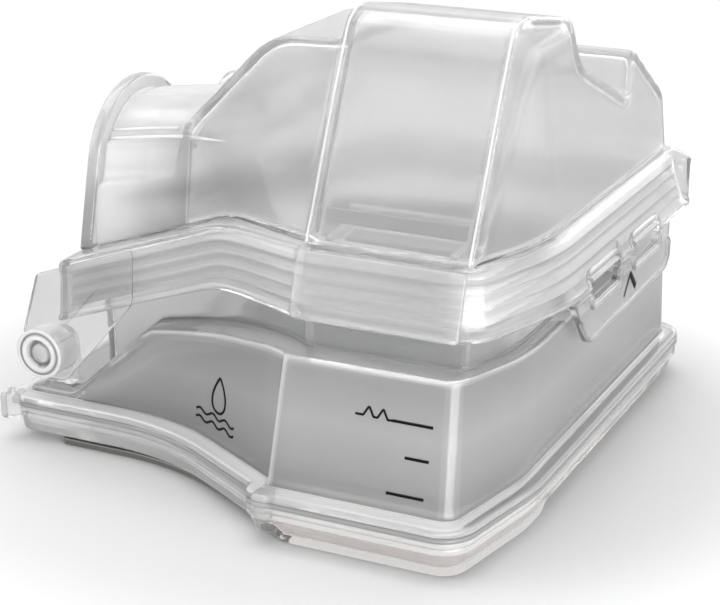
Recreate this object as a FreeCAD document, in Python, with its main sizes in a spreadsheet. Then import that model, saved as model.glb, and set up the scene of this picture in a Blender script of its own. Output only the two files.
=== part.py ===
import FreeCAD, Part
import Sketcher
import math
import os
from FreeCAD import Placement, Rotation, Vector

# Humidifier water tub of a bedside breathing-therapy machine: a clear base that holds the water over a
# metal heating plate, and a domed lid that turns on two hinge pins at its left side and is kept shut by
# a springy latch plate on its right. +X runs along the front to the right, +Y to the rear, +Z up. The
# origin lies on the standing surface below the middle of the tub. Millimetres throughout.

SIZES = [
    # plan of the tub wall at its foot
    ("wall_left", 60.6, "left end of the wall, from the origin"),
    ("wall_right", 61.3, "right side of the wall"),
    ("wall_front", 63.5, "front panel"),
    ("recess_front", 41.0, "set-back front of the left half"),
    ("wall_rear", 64.0, "rear wall"),
    ("ridge_place", 13.6, "ridge between the hollow and the front panel"),
    ("ridge_step", 3.2, "return of the ridge at its foot"),
    ("hollow_radius", 60.0, "hollow curve that joins the left half to the ridge"),
    ("corner_cut", 5.8, "how far the front panel stops short of the right side"),
    ("front_lean", 9.0, "how far the front panel leans back up to the ledge"),
    ("side_lean", 1.0, "draft of the other walls up to the ledge"),
    # levels
    ("foot_level", 1.8, "underside of the pan beside the plate"),
    ("flange_under", 5.5, "underside of the double flange"),
    ("flange_split", 8.2, "joint between its two layers"),
    ("flange_top", 11.0, "top of the flange"),
    ("deck_level", 12.7, "low deck below the hinge"),
    ("slope_top", 31.2, "where the slope beside the hinge ends"),
    ("ledge_level", 38.0, "ledge round the neck"),
    ("rim_level", 46.5, "rim of the neck, level part"),
    ("rim_slope", 0.342, "fall of the rim toward the hinge, mm per mm"),
    ("dome_level", 99.5, "top of the dome"),
    ("grip_level", 104.0, "top of the grip"),
    # walls and clearances
    ("shell_wall", 1.8, "moulded wall"),
    ("pan_wall", 1.6, "wall of the pan"),
    ("plate_wall", 0.8, "sheet of the heating plate"),
    ("flange_width", 4.0, "flange outside the wall"),
    ("layer_step", 0.4, "the lower layer is smaller by this all round"),
    ("fit_gap", 0.3, "gap between parts of different bodies"),
    ("pin_clearance", 0.08, "hinge pin in its boss, on the radius"),
    # neck and lid skirt
    ("neck_inset", 6.6, "ledge width at front and rear"),
    ("neck_left", 45.0, "left end of the neck"),
    ("band_drop", 2.0, "skirt below the rim"),
    ("band_rise", 12.0, "skirt and its ledge above the rim"),
    ("band_lean", 4.2, "how far the skirt leans in over its height"),
    ("corner_run", 9.0, "length of the upright corner at the skirt's rear right end"),
    ("ledge_sheet", 1.6, "thickness of the lid's ledge"),
    ("seal_groove", 1.2, "depth of the seal's grooves"),
    ("seal_web", 1.5, "least thickness of the seal behind them"),
    # heating plate
    ("plate_half", 51.0, "half length of the dished plate"),
    ("plate_front", 40.2, "front edge of the dish"),
    ("plate_rear", 57.0, "rear edge of the dish"),
    ("plate_corner", 12.0, "corner radius of the dish"),
    ("plate_lip", 1.0, "lip of the plate on its gasket"),
    ("gasket_height", 0.8, "gasket between the lip and the pan"),
    # hinge
    ("hinge_place", 54.8, "hinge axis, left of the origin"),
    ("hinge_level", 22.4, "height of the hinge axis"),
    ("boss_radius", 6.0, "boss of the lid"),
    ("boss_length", 6.4, "length of that boss"),
    ("pin_radius", 3.2, "pin of the base"),
    ("ear_width", 3.2, "ear that carries the pin"),
    ("cheek_sheet", 2.2, "cheek plate of the lid"),
    ("cheek_stand", 1.4, "the cheek stands clear of the wall by this"),
    ("cheek_reach", 26.8, "how far the cheek runs along the skirt, from the hinge axis"),
    # grip
    ("grip_left", 13.6, "left side of the grip"),
    ("grip_right", 51.6, "right side of the grip"),
    ("panel_sheet", 1.3, "label panel on the skirt"),
    # air ports on the left side
    ("port_face", 49.4, "sealing faces of both ports, left of the origin"),
    ("port_sheet", 3.2, "thickness of those flanges"),
    ("arch_centre", 9.5, "middle of the inlet arch, in front of the origin"),
    ("arch_level", 60.5, "height of its centre"),
    ("arch_radius", 20.5, "outer radius of the arch flange"),
    ("arch_foot", 25.6, "half width of that flange where it stands on the ledge"),
    ("arch_rebate", 0.9, "the wall behind is smaller than the flange by this"),
    ("arch_flare", 2.8, "growth of the arch toward the dome, on the radius"),
    ("arch_length", 23.0, "length of the arch behind its flange"),
    ("shelf_width", 2.2, "wall of the arch, seen as a shelf beside the clear roof"),
    ("inlet_level", 61.2, "height of the inlet bore"),
    ("inlet_radius", 12.8, "inlet bore"),
    ("inlet_depth", 12.0, "length of the inlet collar"),
    ("outlet_place", 36.8, "middle of the outlet, behind the origin"),
    ("outlet_level", 61.6, "height of the outlet bore"),
    ("outlet_radius", 7.6, "outlet bore"),
    ("outlet_flange", 10.4, "outer radius of its flange"),
    ("outlet_depth", 24.0, "length of the outlet duct"),
    ("collar_wall", 1.6, "wall of the two ducts"),
    # latch
    ("latch_front", 20.0, "front top corner of the latch plate, before the origin"),
    ("latch_rear", 47.9, "its rear edge"),
    ("latch_bottom", 33.0, "height of its lower edge"),
    ("latch_sheet", 1.8, "its thickness"),
    ("latch_face", 65.2, "its outer face"),
    ("bead_size", 1.3, "raised bead along its lower edge"),
    ("window_level", 41.6, "lower edge of the windows between it and the skirt"),
    ("window_height", 5.4, "height of the windows"),
    ("window_length", 18.0, "length of the windows"),
    ("window_front", -8.6, "front edge of the first window"),
    ("window_pitch", 29.0, "from one window to the next"),
    ("catch_reach", 2.4, "the catches stop this short of the latch plate"),
]

REACH = 90.0  # half width of the cutting solids, beyond every wall

doc = FreeCAD.newDocument("water_tub")
sheet = doc.addObject("Spreadsheet::Sheet", "sizes")
for row, (alias, value, note) in enumerate(SIZES, start=1):
    sheet.set("A%d" % row, alias)
    sheet.set("B%d" % row, str(value))
    sheet.set("C%d" % row, note)
    sheet.setAlias("B%d" % row, alias)
doc.recompute()


def size(alias):
    return float(sheet.get(alias))


WALL = size("shell_wall")
FLANGE_INNER = size("port_sheet") - size("port_face")
ARCH_END = FLANGE_INNER + size("arch_length")
OUTLET_END = FLANGE_INNER + size("outlet_depth") - 2.0

# ---- outlines with rounded corners ----


def rounded_edges(points, closed):
    """Edges along points (u, v, radius): straight runs joined by tangent arcs, in the XY plane."""
    count = len(points)
    runs = []
    for index in range(count):
        u, v, radius = points[index]
        here = Vector(u, v, 0)
        if radius <= 0 or (not closed and index in (0, count - 1)):
            runs.append((here, None, here))
            continue
        before = Vector(*points[index - 1][:2], 0) - here
        after = Vector(*points[(index + 1) % count][:2], 0) - here
        turn = math.pi - before.getAngle(after)
        reach = min(radius * math.tan(turn / 2), 0.48 * before.Length, 0.48 * after.Length)
        arc_radius = reach / math.tan(turn / 2)
        start = here + before.normalize() * reach
        end = here + after.normalize() * reach
        inward = (before + after).normalize()
        middle = here + inward * (math.hypot(reach, arc_radius) - arc_radius)
        runs.append((start, middle, end))
    edges = []
    for index, (start, middle, end) in enumerate(runs):
        if middle is not None:
            edges.append(Part.Arc(start, middle, end).toShape())
        following = runs[(index + 1) % count][0]
        if (closed or index < count - 1) and end.distanceToPoint(following) > 1e-6:
            edges.append(Part.LineSegment(end, following).toShape())
    return edges


def outline(corners, level):
    wire = Part.Wire(rounded_edges(corners, True))
    wire.translate(Vector(0, 0, level))
    return wire


def inset(corners, amount):
    """The same outline moved inward by amount; it runs anticlockwise, so inward is to its left."""
    moved = []
    count = len(corners)
    for index, (u, v, radius) in enumerate(corners):
        here = Vector(u, v, 0)
        before = (here - Vector(*corners[index - 1][:2], 0)).normalize()
        after = (Vector(*corners[(index + 1) % count][:2], 0) - here).normalize()
        left_before = Vector(-before.y, before.x, 0)
        left_after = Vector(-after.y, after.x, 0)
        shift = (left_before + left_after) * (amount / (1 + left_before.dot(left_after)))
        hollow = before.cross(after).z < 0
        grown = radius + amount if hollow else radius - amount
        moved.append((u + shift.x, v + shift.y, max(grown, 0.4) if radius > 0 else 0))
    return moved


def prism(corners, low, high):
    return Part.Face(outline(corners, low)).extrude(Vector(0, 0, high - low))


def taper(low_corners, high_corners, low, high):
    """Ruled solid between two outlines with the same corners."""
    return Part.makeLoft([outline(low_corners, low), outline(high_corners, high)], True, True)


UPRIGHT = Rotation(Vector(0, 1, 0), Vector(0, 0, 1), Vector(1, 0, 0), "XYZ")


def side_view(corners, left=-REACH, right=REACH):
    """Solid of an outline in (y, z), run along X from left to right."""
    face = Part.Face(outline(corners, 0))
    face.Placement = Placement(Vector(left, 0, 0), UPRIGHT)
    return face.extrude(Vector(right - left, 0, 0))


def front_view(corners, front=-REACH, rear=REACH):
    """Solid of an outline in (x, z), run along Y from front to rear."""
    face = Part.Face(outline(corners, 0))
    face.Placement = Placement(Vector(0, front, 0), Rotation(Vector(1, 0, 0), 90))
    return face.extrude(Vector(0, rear - front, 0))


def lifted(line, height):
    return [(x, z + height, radius) for x, z, radius in line]


def between(lower, upper):
    """Everything over one (x, z) line and under another, over the whole depth."""
    return front_view(list(lower) + list(reversed(upper)))


def box(x_low, x_high, y_low, y_high, z_low, z_high):
    return Part.makeBox(x_high - x_low, y_high - y_low, z_high - z_low, Vector(x_low, y_low, z_low))


def rod(radius, x_low, x_high, y, z):
    return Part.makeCylinder(radius, x_high - x_low, Vector(x_low, y, z), Vector(1, 0, 0))


# ---- plans: eight corners, anticlockwise from the left end of the set-back front ----


def plan(left, right, front, recess, rear, ridge, bend, cut, bow, radii, step=0.6):
    """Outline of one level: set-back left half, hollow curve, ridge, front, bowed right side, rear."""
    left_radius, bend_radius, ridge_radius, corner_radius, bow_radius, rear_radius = radii
    return [
        (left, recess, left_radius),
        (bend, recess, bend_radius),
        (ridge - 0.2 * step, front + step, ridge_radius),
        (ridge, front, 0.5 * ridge_radius),
        (right - cut, front, corner_radius),
        (right - 0.8, bow, bow_radius),
        (right, rear, rear_radius),
        (left, rear, rear_radius),
    ]


def foot_plan():
    radii = (3.0, size("hollow_radius"), 1.2, 4.0, 50.0, 5.0)
    return plan(-size("wall_left"), size("wall_right"), -size("wall_front"), -size("recess_front"),
                size("wall_rear"), size("ridge_place"), -21.0, size("corner_cut"), -38.0, radii,
                size("ridge_step"))


def shoulder_plan():
    """Wall at the height of the ledge."""
    draft = size("side_lean")
    radii = (3.0, size("hollow_radius") + 20.0, 1.2, 3.5, 55.0, 5.0)
    return plan(draft - size("wall_left"), size("wall_right") - draft / 2,
                size("front_lean") - size("wall_front"), draft - size("recess_front"),
                size("wall_rear") - 1.5 * draft, size("ridge_place") + 0.2, -13.0,
                size("corner_cut") + 2.5, -34.0, radii)


def neck_plan():
    step = size("neck_inset")
    radii = (3.0, size("hollow_radius"), 2.0, 3.0, 50.0, 5.0)
    return plan(-size("neck_left"), size("wall_right") - 4.3,
                size("front_lean") + step - size("wall_front"), step + 1.8 - size("recess_front"),
                size("wall_rear") - 1.9 - step, size("ridge_place") + 1.7, -11.0,
                size("corner_cut") - 0.6, -33.0, radii)


def band_plan(lean):
    """Lid skirt; lean is how far its front and right lean in at this level."""
    radii = (2.0, size("hollow_radius") - 15.0, 1.5, 6.0, 60.0, 4.0)
    return plan(-size("neck_left") - 5.2, size("wall_right") + 4.3 - lean,
                size("front_lean") + 3.5 + lean - size("wall_front"),
                lean / 4 - 1.0 - size("recess_front"), size("wall_rear") + 1.0 - lean / 3,
                size("ridge_place") - 0.2, -6.0, size("corner_cut") + 4.3 - lean / 3, -20.0, radii)


def dome_plan(rise):
    """Dome wall; rise runs from 0 at its foot to 1 at its top."""
    radii = (1.0, size("hollow_radius") - 10.0, 3.0, 4.0, 50.0, 6.0)
    front = size("front_lean") + 9.7 + 22.3 * rise - size("wall_front")
    recess = 7.5 + 8.0 * rise - size("recess_front")
    return plan(FLANGE_INNER, size("wall_right") - 0.3 - 9.2 * rise, front, recess,
                size("wall_rear") - 1.5 + 11.0 * rise, size("grip_left"), -14.0,
                size("corner_cut") + 3.0 - 5.0 * rise, -25.0 + 13.0 * rise, radii)


# ---- lines in front view ----


def ledge_line():
    """Upper edge of the outer wall: deck below the hinge, slope, then the ledge that climbs to the front."""
    deck = size("deck_level")
    slope_start = size("boss_radius") + 0.2 - size("hinge_place")
    slope_end = slope_start + 1.086 * (size("slope_top") - deck)
    return [(-REACH, deck, 0), (slope_start, deck, 5.0), (slope_end, size("slope_top"), 6.0),
            (10.0, size("ledge_level") - 0.3, 30.0), (REACH, size("ledge_level"), 0)]


def rim_line():
    level = size("rim_level")
    bend = -9.5
    fall = size("rim_slope") * (REACH + bend)
    return [(-REACH, level - fall, 0), (bend, level, 25.0), (REACH, level, 0)]


def rim_height(x):
    return size("rim_level") + min(0.0, size("rim_slope") * (x + 9.5))


FLOOR_LINE = [(-REACH, -REACH, 0), (REACH, -REACH, 0)]
SKY_LINE = [(-REACH, 2 * REACH, 0), (REACH, 2 * REACH, 0)]

# ---- document objects ----

placed = []


def keep(name, shape):
    """A sub-part whose shape is worked out from the sheet by the functions above."""
    feature = doc.addObject("Part::Feature", name)
    feature.Label = name
    feature.Shape = shape.removeSplitter()
    feature.Placement = Placement()
    placed.append(feature)
    return feature


def body(name):
    made = doc.addObject("PartDesign::Body", name)
    made.Label = name
    made.Placement = Placement()
    placed.append(made)
    return made


PLANES = {"XY": "XY_Plane", "XZ": "XZ_Plane", "YZ": "YZ_Plane"}


def sketch(owner, name, plane, offset="0"):
    """Empty sketch on one of the body's own planes, moved out along its normal by an expression."""
    made = owner.newObject("Sketcher::SketchObject", name)
    role = PLANES[plane]
    origin_plane = [item for item in owner.Origin.OriginFeatures if item.Role == role][0]
    made.AttachmentSupport = [(origin_plane, "")]
    made.MapMode = "FlatFace"
    made.setExpression(".AttachmentOffset.Base.z", offset)
    return made


def circle(drawing, u, v, radius):
    """Circle held by three bound dimensions."""
    index = drawing.addGeometry(Part.Circle(Vector(1, 1, 0), Vector(0, 0, 1), 1), False)
    for kind, value in (("DistanceX", u), ("DistanceY", v)):
        number = drawing.addConstraint(Sketcher.Constraint(kind, -1, 1, index, 3, 1.0))
        drawing.setExpression("Constraints[%d]" % number, value)
    number = drawing.addConstraint(Sketcher.Constraint("Radius", index, 1.0))
    drawing.setExpression("Constraints[%d]" % number, radius)


def polygon(drawing, corners):
    """Closed polygon whose corners are held by bound dimensions from the sketch's origin."""
    count = len(corners)
    rough = [Vector(math.cos(2 * math.pi * k / count), math.sin(2 * math.pi * k / count), 0)
             for k in range(count)]
    first = drawing.GeometryCount
    for k in range(count):
        drawing.addGeometry(Part.LineSegment(rough[k], rough[(k + 1) % count]), False)
    for k in range(count):
        drawing.addConstraint(
            Sketcher.Constraint("Coincident", first + k, 2, first + (k + 1) % count, 1))
    for k, (u, v) in enumerate(corners):
        for kind, value, here in (("DistanceX", u, rough[k].x), ("DistanceY", v, rough[k].y)):
            number = drawing.addConstraint(Sketcher.Constraint(kind, -1, 1, first + k, 1, here))
            drawing.setExpression("Constraints[%d]" % number, value)


def rectangle(drawing, u_low, u_high, v_low, v_high):
    polygon(drawing, [(u_low, v_low), (u_high, v_low), (u_high, v_high), (u_low, v_high)])


def pad(owner, drawing, name, length, reverse=False):
    made = owner.newObject("PartDesign::Pad", name)
    made.Profile = drawing
    made.setExpression("Length", length)
    made.Reversed = reverse
    return made


def pocket(owner, drawing, name, length, reverse=False):
    made = owner.newObject("PartDesign::Pocket", name)
    made.Profile = drawing
    made.setExpression("Length", length)
    made.Reversed = reverse
    return made


# ---- base ----


def tub_outer():
    """Outer form of the wall and neck, without the flange."""
    low = size("flange_split")
    wall = taper(foot_plan(), shoulder_plan(), low, size("ledge_level"))
    wall = wall.common(between(FLOOR_LINE, ledge_line()))
    neck = prism(neck_plan(), low, 2 * size("rim_level"))
    neck = neck.common(between(lifted(ledge_line(), -size("shell_wall")), rim_line()))
    return wall.fuse(neck)


def tub_inner():
    """Room for the water."""
    wall = size("shell_wall")
    low = size("flange_split") - 1.0
    room = taper(inset(foot_plan(), wall), inset(shoulder_plan(), wall), low, size("ledge_level"))
    room = room.common(between(FLOOR_LINE, lifted(ledge_line(), -1.2 * wall)))
    mouth = prism(inset(neck_plan(), wall), low, 2 * size("rim_level"))
    mouth = mouth.common(between(lifted(ledge_line(), -3 * wall), SKY_LINE))
    return room.fuse(mouth)


def tub_shell():
    flange = prism(inset(foot_plan(), -size("flange_width")), size("flange_split"), size("flange_top"))
    keep("tub_shell", tub_outer().fuse(flange).cut(tub_inner()))


def plate_corners(grow):
    """Outline of the heating plate's dish, grown by an amount."""
    half = size("plate_half") + grow
    front = -size("plate_front") - grow
    rear = size("plate_rear") + grow
    radius = size("plate_corner") + grow
    return [(-half, front, radius), (half, front, radius), (half, rear, radius), (-half, rear, radius)]


def bottom_pan():
    """Shallow clear pan with the lower flange layer, a window for the plate and a keel round the front."""
    layer = inset(foot_plan(), size("layer_step") - size("flange_width"))
    under = size("flange_under")
    foot = size("foot_level")
    wall = size("pan_wall")
    top_inset = 1.0
    foot_inset = 1.5
    keel_inset = 1.9
    pan = taper(inset(layer, foot_inset), inset(layer, top_inset), foot, under)
    pan = pan.fuse(prism(layer, under, size("flange_split")))
    keel = taper(inset(layer, keel_inset), inset(layer, foot_inset), 0, foot)
    pan = pan.fuse(keel.common(keel_area(0, foot)))
    room = prism(inset(layer, foot_inset + wall), foot + wall, size("flange_split"))
    keel_room = prism(inset(layer, keel_inset + wall), wall, foot + wall)
    room = room.fuse(keel_room.common(keel_area(wall, foot + wall)))
    window = prism(plate_corners(size("fit_gap")), -1.0, foot + 2 * wall)
    keep("bottom_pan", pan.cut(room).cut(window))


def keel_area(amount, height):
    """Area in front of the plate, cut off at its left end, and along the front stretch of the right side."""
    stand = 3.6
    left = size("ridge_place") + 3.9
    front = -size("plate_front") - stand
    side = size("plate_half") + stand
    edge = 1.6 - size("wall_front")
    corners = [(left, front, 0), (left, edge, 0), (left + 4.6, edge - 5.5, 0), (REACH, edge - 5.5, 0),
               (REACH, -28.0, 0), (side, -28.0, 0), (side, front, 0)]
    return prism(inset(corners, amount), 0, height)


def heater_plate():
    """Pressed dish: bottom, upright side and a lip that hangs it on the gasket."""
    seat = size("foot_level") + size("pan_wall") + size("gasket_height")
    sheet_metal = size("plate_wall")
    dish = prism(plate_corners(0), 0, seat + sheet_metal)
    dish = dish.fuse(prism(plate_corners(size("plate_lip")), seat, seat + sheet_metal))
    room = prism(plate_corners(-sheet_metal), sheet_metal, seat + 2 * sheet_metal)
    keep("heater_plate", dish.cut(room))


def plate_gasket():
    low = size("foot_level") + size("pan_wall")
    ring = prism(plate_corners(size("plate_lip")), low, low + size("gasket_height"))
    keep("plate_gasket", ring.cut(prism(plate_corners(size("fit_gap")), low - 1, low + 3)))


def flange_lug(name, x, y, length, depth):
    """Moulded lug on the flange's edge, as tall as both layers."""
    low = size("flange_under") - size("layer_step")
    block = box(x, x + length, y, y + depth, low, size("flange_top") + size("layer_step"))
    carried = prism(inset(foot_plan(), -size("flange_width")), low, size("flange_top"))
    keep(name, block.cut(carried))


HINGE_X = -size("hinge_place")
HINGE_Z = size("hinge_level")


def hinge_side(front):
    """Y of the wall that one hinge stands at, and the way outward from it."""
    if front:
        return -size("recess_front"), -1
    return size("wall_rear"), 1


def hinge_ear(name, front):
    """Ear on the deck with the pin that the lid's boss turns on."""
    sign = "-" if front else ""
    wall = "sizes.recess_front" if front else "sizes.wall_rear"
    inner_face = "%s(%s + sizes.cheek_stand + sizes.cheek_sheet - sizes.boss_length - sizes.fit_gap)" % (
        sign, wall)
    made = body(name)
    # the XZ plane faces -Y, so the offsets and the pads run with that
    offset = "-(%s)" % inner_face
    ear = sketch(made, name + "_profile", "XZ", offset)
    foot = "sizes.deck_level"
    polygon(ear, [
        ("-sizes.hinge_place - sizes.boss_radius + 2.0", foot),
        ("-sizes.hinge_place + sizes.boss_radius - 2.0", foot),
        ("-sizes.hinge_place + sizes.boss_radius - 2.0", "sizes.hinge_level + 1.6"),
        ("-sizes.hinge_place + 2.2", "sizes.hinge_level + 4.2"),
        ("-sizes.hinge_place - 2.2", "sizes.hinge_level + 4.2"),
        ("-sizes.hinge_place - sizes.boss_radius + 2.0", "sizes.hinge_level + 1.6"),
    ])
    pad(made, ear, name + "_plate", "sizes.ear_width", reverse=front)
    pin = sketch(made, name + "_pin_circle", "XZ", offset)
    circle(pin, "-sizes.hinge_place", "sizes.hinge_level", "sizes.pin_radius")
    pad(made, pin, name + "_pin", "sizes.boss_length + sizes.fit_gap - 0.4", reverse=not front)


def catch(name, number):
    """Catch on the ledge behind one latch window: an upright with a nose toward the latch plate."""
    made = body(name)
    start = "(sizes.window_front + %d * sizes.window_pitch + 2.2)" % number
    profile = sketch(made, name + "_profile", "XZ", "-" + start)
    heel = "sizes.wall_right - 4.0"
    nose = "sizes.latch_face - sizes.latch_sheet - sizes.catch_reach"
    top = "sizes.rim_level - 2.4"
    polygon(profile, [
        (heel, "sizes.ledge_level"),
        (heel + " + 2.2", "sizes.ledge_level"),
        (heel + " + 2.2", top + " - 3.0"),
        (nose, top + " - 2.4"),
        (nose, top + " - 1.2"),
        (heel, top),
    ])
    pad(made, profile, name + "_block", "sizes.window_length - 4.4", reverse=True)


# ---- lid ----


def band_solid(grow):
    """Outer form of the skirt, moved out by grow, from below the rim to its ledge."""
    lean = size("band_lean")
    low = size("rim_level") - size("band_drop")
    high = size("rim_level") + size("band_rise")
    slope = lean / (high - low)
    bottom = low - 24.0
    lower = inset(band_plan(slope * (bottom - low)), -grow)
    upper = inset(band_plan(lean), -grow)
    solid = taper(lower, upper, bottom, high)
    return solid.common(between(lifted(rim_line(), -size("band_drop")),
                                lifted(rim_line(), size("band_rise"))))


def dome_prism(thickness):
    """Dome form in plan, with its lean, moved in by thickness."""
    foot = size("rim_level") + 5.5
    top = size("grip_level") + 2.0
    low_plan = inset(dome_plan(0), thickness)
    high_plan = inset(dome_plan(1), thickness)
    upright = prism(low_plan, size("rim_level") - 18.0, foot)
    return upright.fuse(taper(low_plan, high_plan, foot, top))


def dome_front_view(thickness):
    """Low roof at the left behind the ports, end face that leans back, top."""
    top = size("dome_level")
    corners = [(FLANGE_INNER, 0, 0), (REACH, 0, 0), (REACH, top, 0), (-3.2, top - 2.0, 12.0),
               (-24.3, 75.5, 2.0), (-25.0, 65.0, 3.0), (FLANGE_INNER, 61.0, 3.0)]
    return front_view(inset(corners, thickness))


def dome_side_view(thickness):
    """Top of the dome from front to rear: level, finger hollow behind the grip, hump, rear slope."""
    top = size("dome_level")
    rear = size("wall_rear") + 4.0
    corners = [(-REACH, 0, 0), (rear, 0, 0), (rear, 67.6, 1.5), (44.0, 87.0, 2.5), (38.3, 75.7, 2.5),
               (11.0, 88.5, 5.0), (8.6, top, 3.5), (-REACH, top, 0)]
    return side_view(inset(corners, thickness))


def grip_solid(thickness):
    """Grip in side view: leaning front, rounded top that falls to the rear, upright back."""
    foot = size("rim_level") + size("band_rise")
    top = size("grip_level")
    lean_foot = size("front_lean") + 8.9 - size("wall_front")
    corners = [(lean_foot, foot - 0.4, 0), (8.9, foot - 0.4, 0), (8.9, 99.6, 3.0),
               (-15.0, top + 0.2, 14.0), (-23.6, top, 7.0), (-31.2, 89.0, 30.0), (-42.0, 65.8, 30.0)]
    moved = inset(corners, thickness) if thickness else corners
    if thickness:
        moved[0] = (moved[0][0], 0, 0)
        moved[1] = (moved[1][0], 0, 0)
    return side_view(moved, size("grip_left") + thickness, size("grip_right") - thickness)


def arch_outline(radius, half_foot):
    """Round top whose sides run on as tangents to a wider foot, in (y, z) from the arch's middle."""
    drop = size("arch_level") - size("rim_level") + 4.0
    reach = math.hypot(half_foot, drop)
    tangent = math.acos(radius / reach) - math.atan2(drop, half_foot)
    side = Vector(radius * math.cos(tangent), radius * math.sin(tangent), 0)
    foot = Vector(half_foot, -drop, 0)
    edges = [Part.LineSegment(foot, side).toShape(),
             Part.Arc(side, Vector(0, radius, 0), Vector(-side.x, side.y, 0)).toShape(),
             Part.LineSegment(Vector(-side.x, side.y, 0), Vector(-foot.x, foot.y, 0)).toShape(),
             Part.LineSegment(Vector(-foot.x, foot.y, 0), foot).toShape()]
    return Part.Wire(edges)


def arch_solid(inward, left, right, flare):
    """Arch run along X, smaller than the flange by inward, and wider by flare at its right end."""
    wires = []
    for x, growth in ((left, 0.0), (right, flare)):
        wire = arch_outline(size("arch_radius") - inward + growth, size("arch_foot") - inward)
        wire.Placement = Placement(Vector(x, -size("arch_centre"), size("arch_level")), UPRIGHT)
        wires.append(wire)
    return Part.makeLoft(wires, True, True)


def shelf_line(height):
    """Upper edge of the arch wall: it rises slowly away from the flange."""
    return [(-REACH, 62.0 + height, 0), (-46.0, 69.5 + height, 0), (-20.0, 74.0 + height, 20.0),
            (REACH, 60.0 + height, 0)]


def outlet_solid(radius, left, right):
    barrel = rod(radius, left, right, size("outlet_place"), size("outlet_level"))
    legs = box(left, right, size("outlet_place") - radius, size("outlet_place") + radius,
               size("rim_level") - 10.0, size("outlet_level"))
    return barrel.fuse(legs)


def above_ledge():
    return between(lifted(rim_line(), size("band_rise")), SKY_LINE)


def dome_outer():
    main = dome_prism(0).common(dome_front_view(0)).common(dome_side_view(0))
    arch = arch_solid(size("arch_rebate"), FLANGE_INNER, ARCH_END, size("arch_flare"))
    arch = arch.common(between(FLOOR_LINE, shelf_line(0)))
    duct = outlet_solid(size("outlet_radius") + size("collar_wall"), FLANGE_INNER, OUTLET_END)
    return main.fuse([arch, duct, grip_solid(0)])


def dome_inner():
    main = dome_prism(WALL).common(dome_front_view(WALL)).common(dome_side_view(WALL))
    arch = arch_solid(size("arch_rebate") + size("shelf_width"), FLANGE_INNER, ARCH_END + 1.0,
                      size("arch_flare"))
    duct = rod(size("outlet_radius"), FLANGE_INNER - 1, OUTLET_END + 1, size("outlet_place"),
               size("outlet_level"))
    return main.fuse([arch, duct, grip_solid(WALL)])


def lid_shell():
    """Dome with the hollow behind its grip, the grip cover, and the low deck at both sides of the inlet."""
    shell = dome_outer().cut(dome_inner()).common(above_ledge())
    cover_room = grip_solid(0)
    middle = -size("arch_centre")
    deck_front = box(-REACH, ARCH_END, -REACH, middle, 0, 2 * REACH)
    deck_rear = box(-REACH, ARCH_END, middle, REACH, 0, 2 * REACH)
    keep("grip_cover", shell.common(cover_room))
    keep("port_deck_front", shell.common(deck_front))
    keep("port_deck_rear", shell.common(deck_rear))
    keep("lid_dome", shell.cut([cover_room, deck_front, deck_rear]))


def rim_band():
    """Clear skirt with the ledge that the dome stands on."""
    skirt = band_solid(0).cut(band_solid(-WALL))
    ledge = band_solid(0).common(between(
        lifted(rim_line(), size("band_rise") - size("ledge_sheet")), SKY_LINE))
    opening = dome_prism(WALL).common(box(FLANGE_INNER + WALL, REACH, -REACH, REACH, 0, REACH))
    corner = rear_corner().cut(band_solid(-WALL))
    keep("rim_band", skirt.fuse([ledge, corner]).cut(opening).cut(window_cuts()))


def rear_corner():
    """Upright corner that squares off the leaning skirt at its rear right end."""
    right, rear, radius = band_plan(0)[6]
    inner = right - 2 * size("band_lean")
    front = rear - size("corner_run")
    low = size("rim_level") - size("band_drop")
    high = size("rim_level") + size("band_rise")
    foot = [(inner, front, 0), (right - size("band_lean"), front, 0),
            (right, front + size("corner_run") / 2, 2.0), (right, rear, radius), (inner, rear, 0)]
    side = [(inner, low, 0), (right, low, 0), (right, high - 2.6, 1.5),
            (right - 3.4, high, 1.5), (inner, high, 0)]
    return prism(foot, low, high).common(front_view(side))


def window_cuts():
    """Upper part of the two windows, in the lower edge of the skirt's right side."""
    top = size("window_level") + size("window_height")
    cuts = []
    for number in range(2):
        start = size("window_front") + number * size("window_pitch")
        cuts.append(box(size("latch_face") - 6.0, REACH, start, start + size("window_length"), 0, top))
    return cuts[0].fuse(cuts[1])


def label_panel():
    """Smooth panel on the front of the skirt, as wide as the grip."""
    layer = band_solid(size("panel_sheet")).cut(band_solid(0))
    span = box(size("grip_left"), size("grip_right"), -REACH, -size("plate_front"), 0, REACH)
    keep("label_panel", layer.common(span))


def mid_seal():
    """Ribbed soft seal between the neck's rim and the lid's ledge."""
    clearance = size("fit_gap")
    low = clearance
    high = size("band_rise") - size("ledge_sheet")
    grooves = 3
    step = (high - low) / (2 * grooves + 1)
    seal = band_solid(-WALL - clearance).common(between(lifted(rim_line(), low), lifted(rim_line(), high)))
    groove_floor = -WALL - clearance - size("seal_groove")
    opening = prism(inset(neck_plan(), WALL), 0, 2 * REACH)
    seal = seal.cut(opening.common(band_solid(groove_floor - size("seal_web"))))
    around = band_solid(0).cut(band_solid(groove_floor))
    for groove in range(grooves):
        start = low + (2 * groove + 1) * step
        seal = seal.cut(around.common(between(lifted(rim_line(), start), lifted(rim_line(), start + step))))
    keep("mid_seal", seal)


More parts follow.
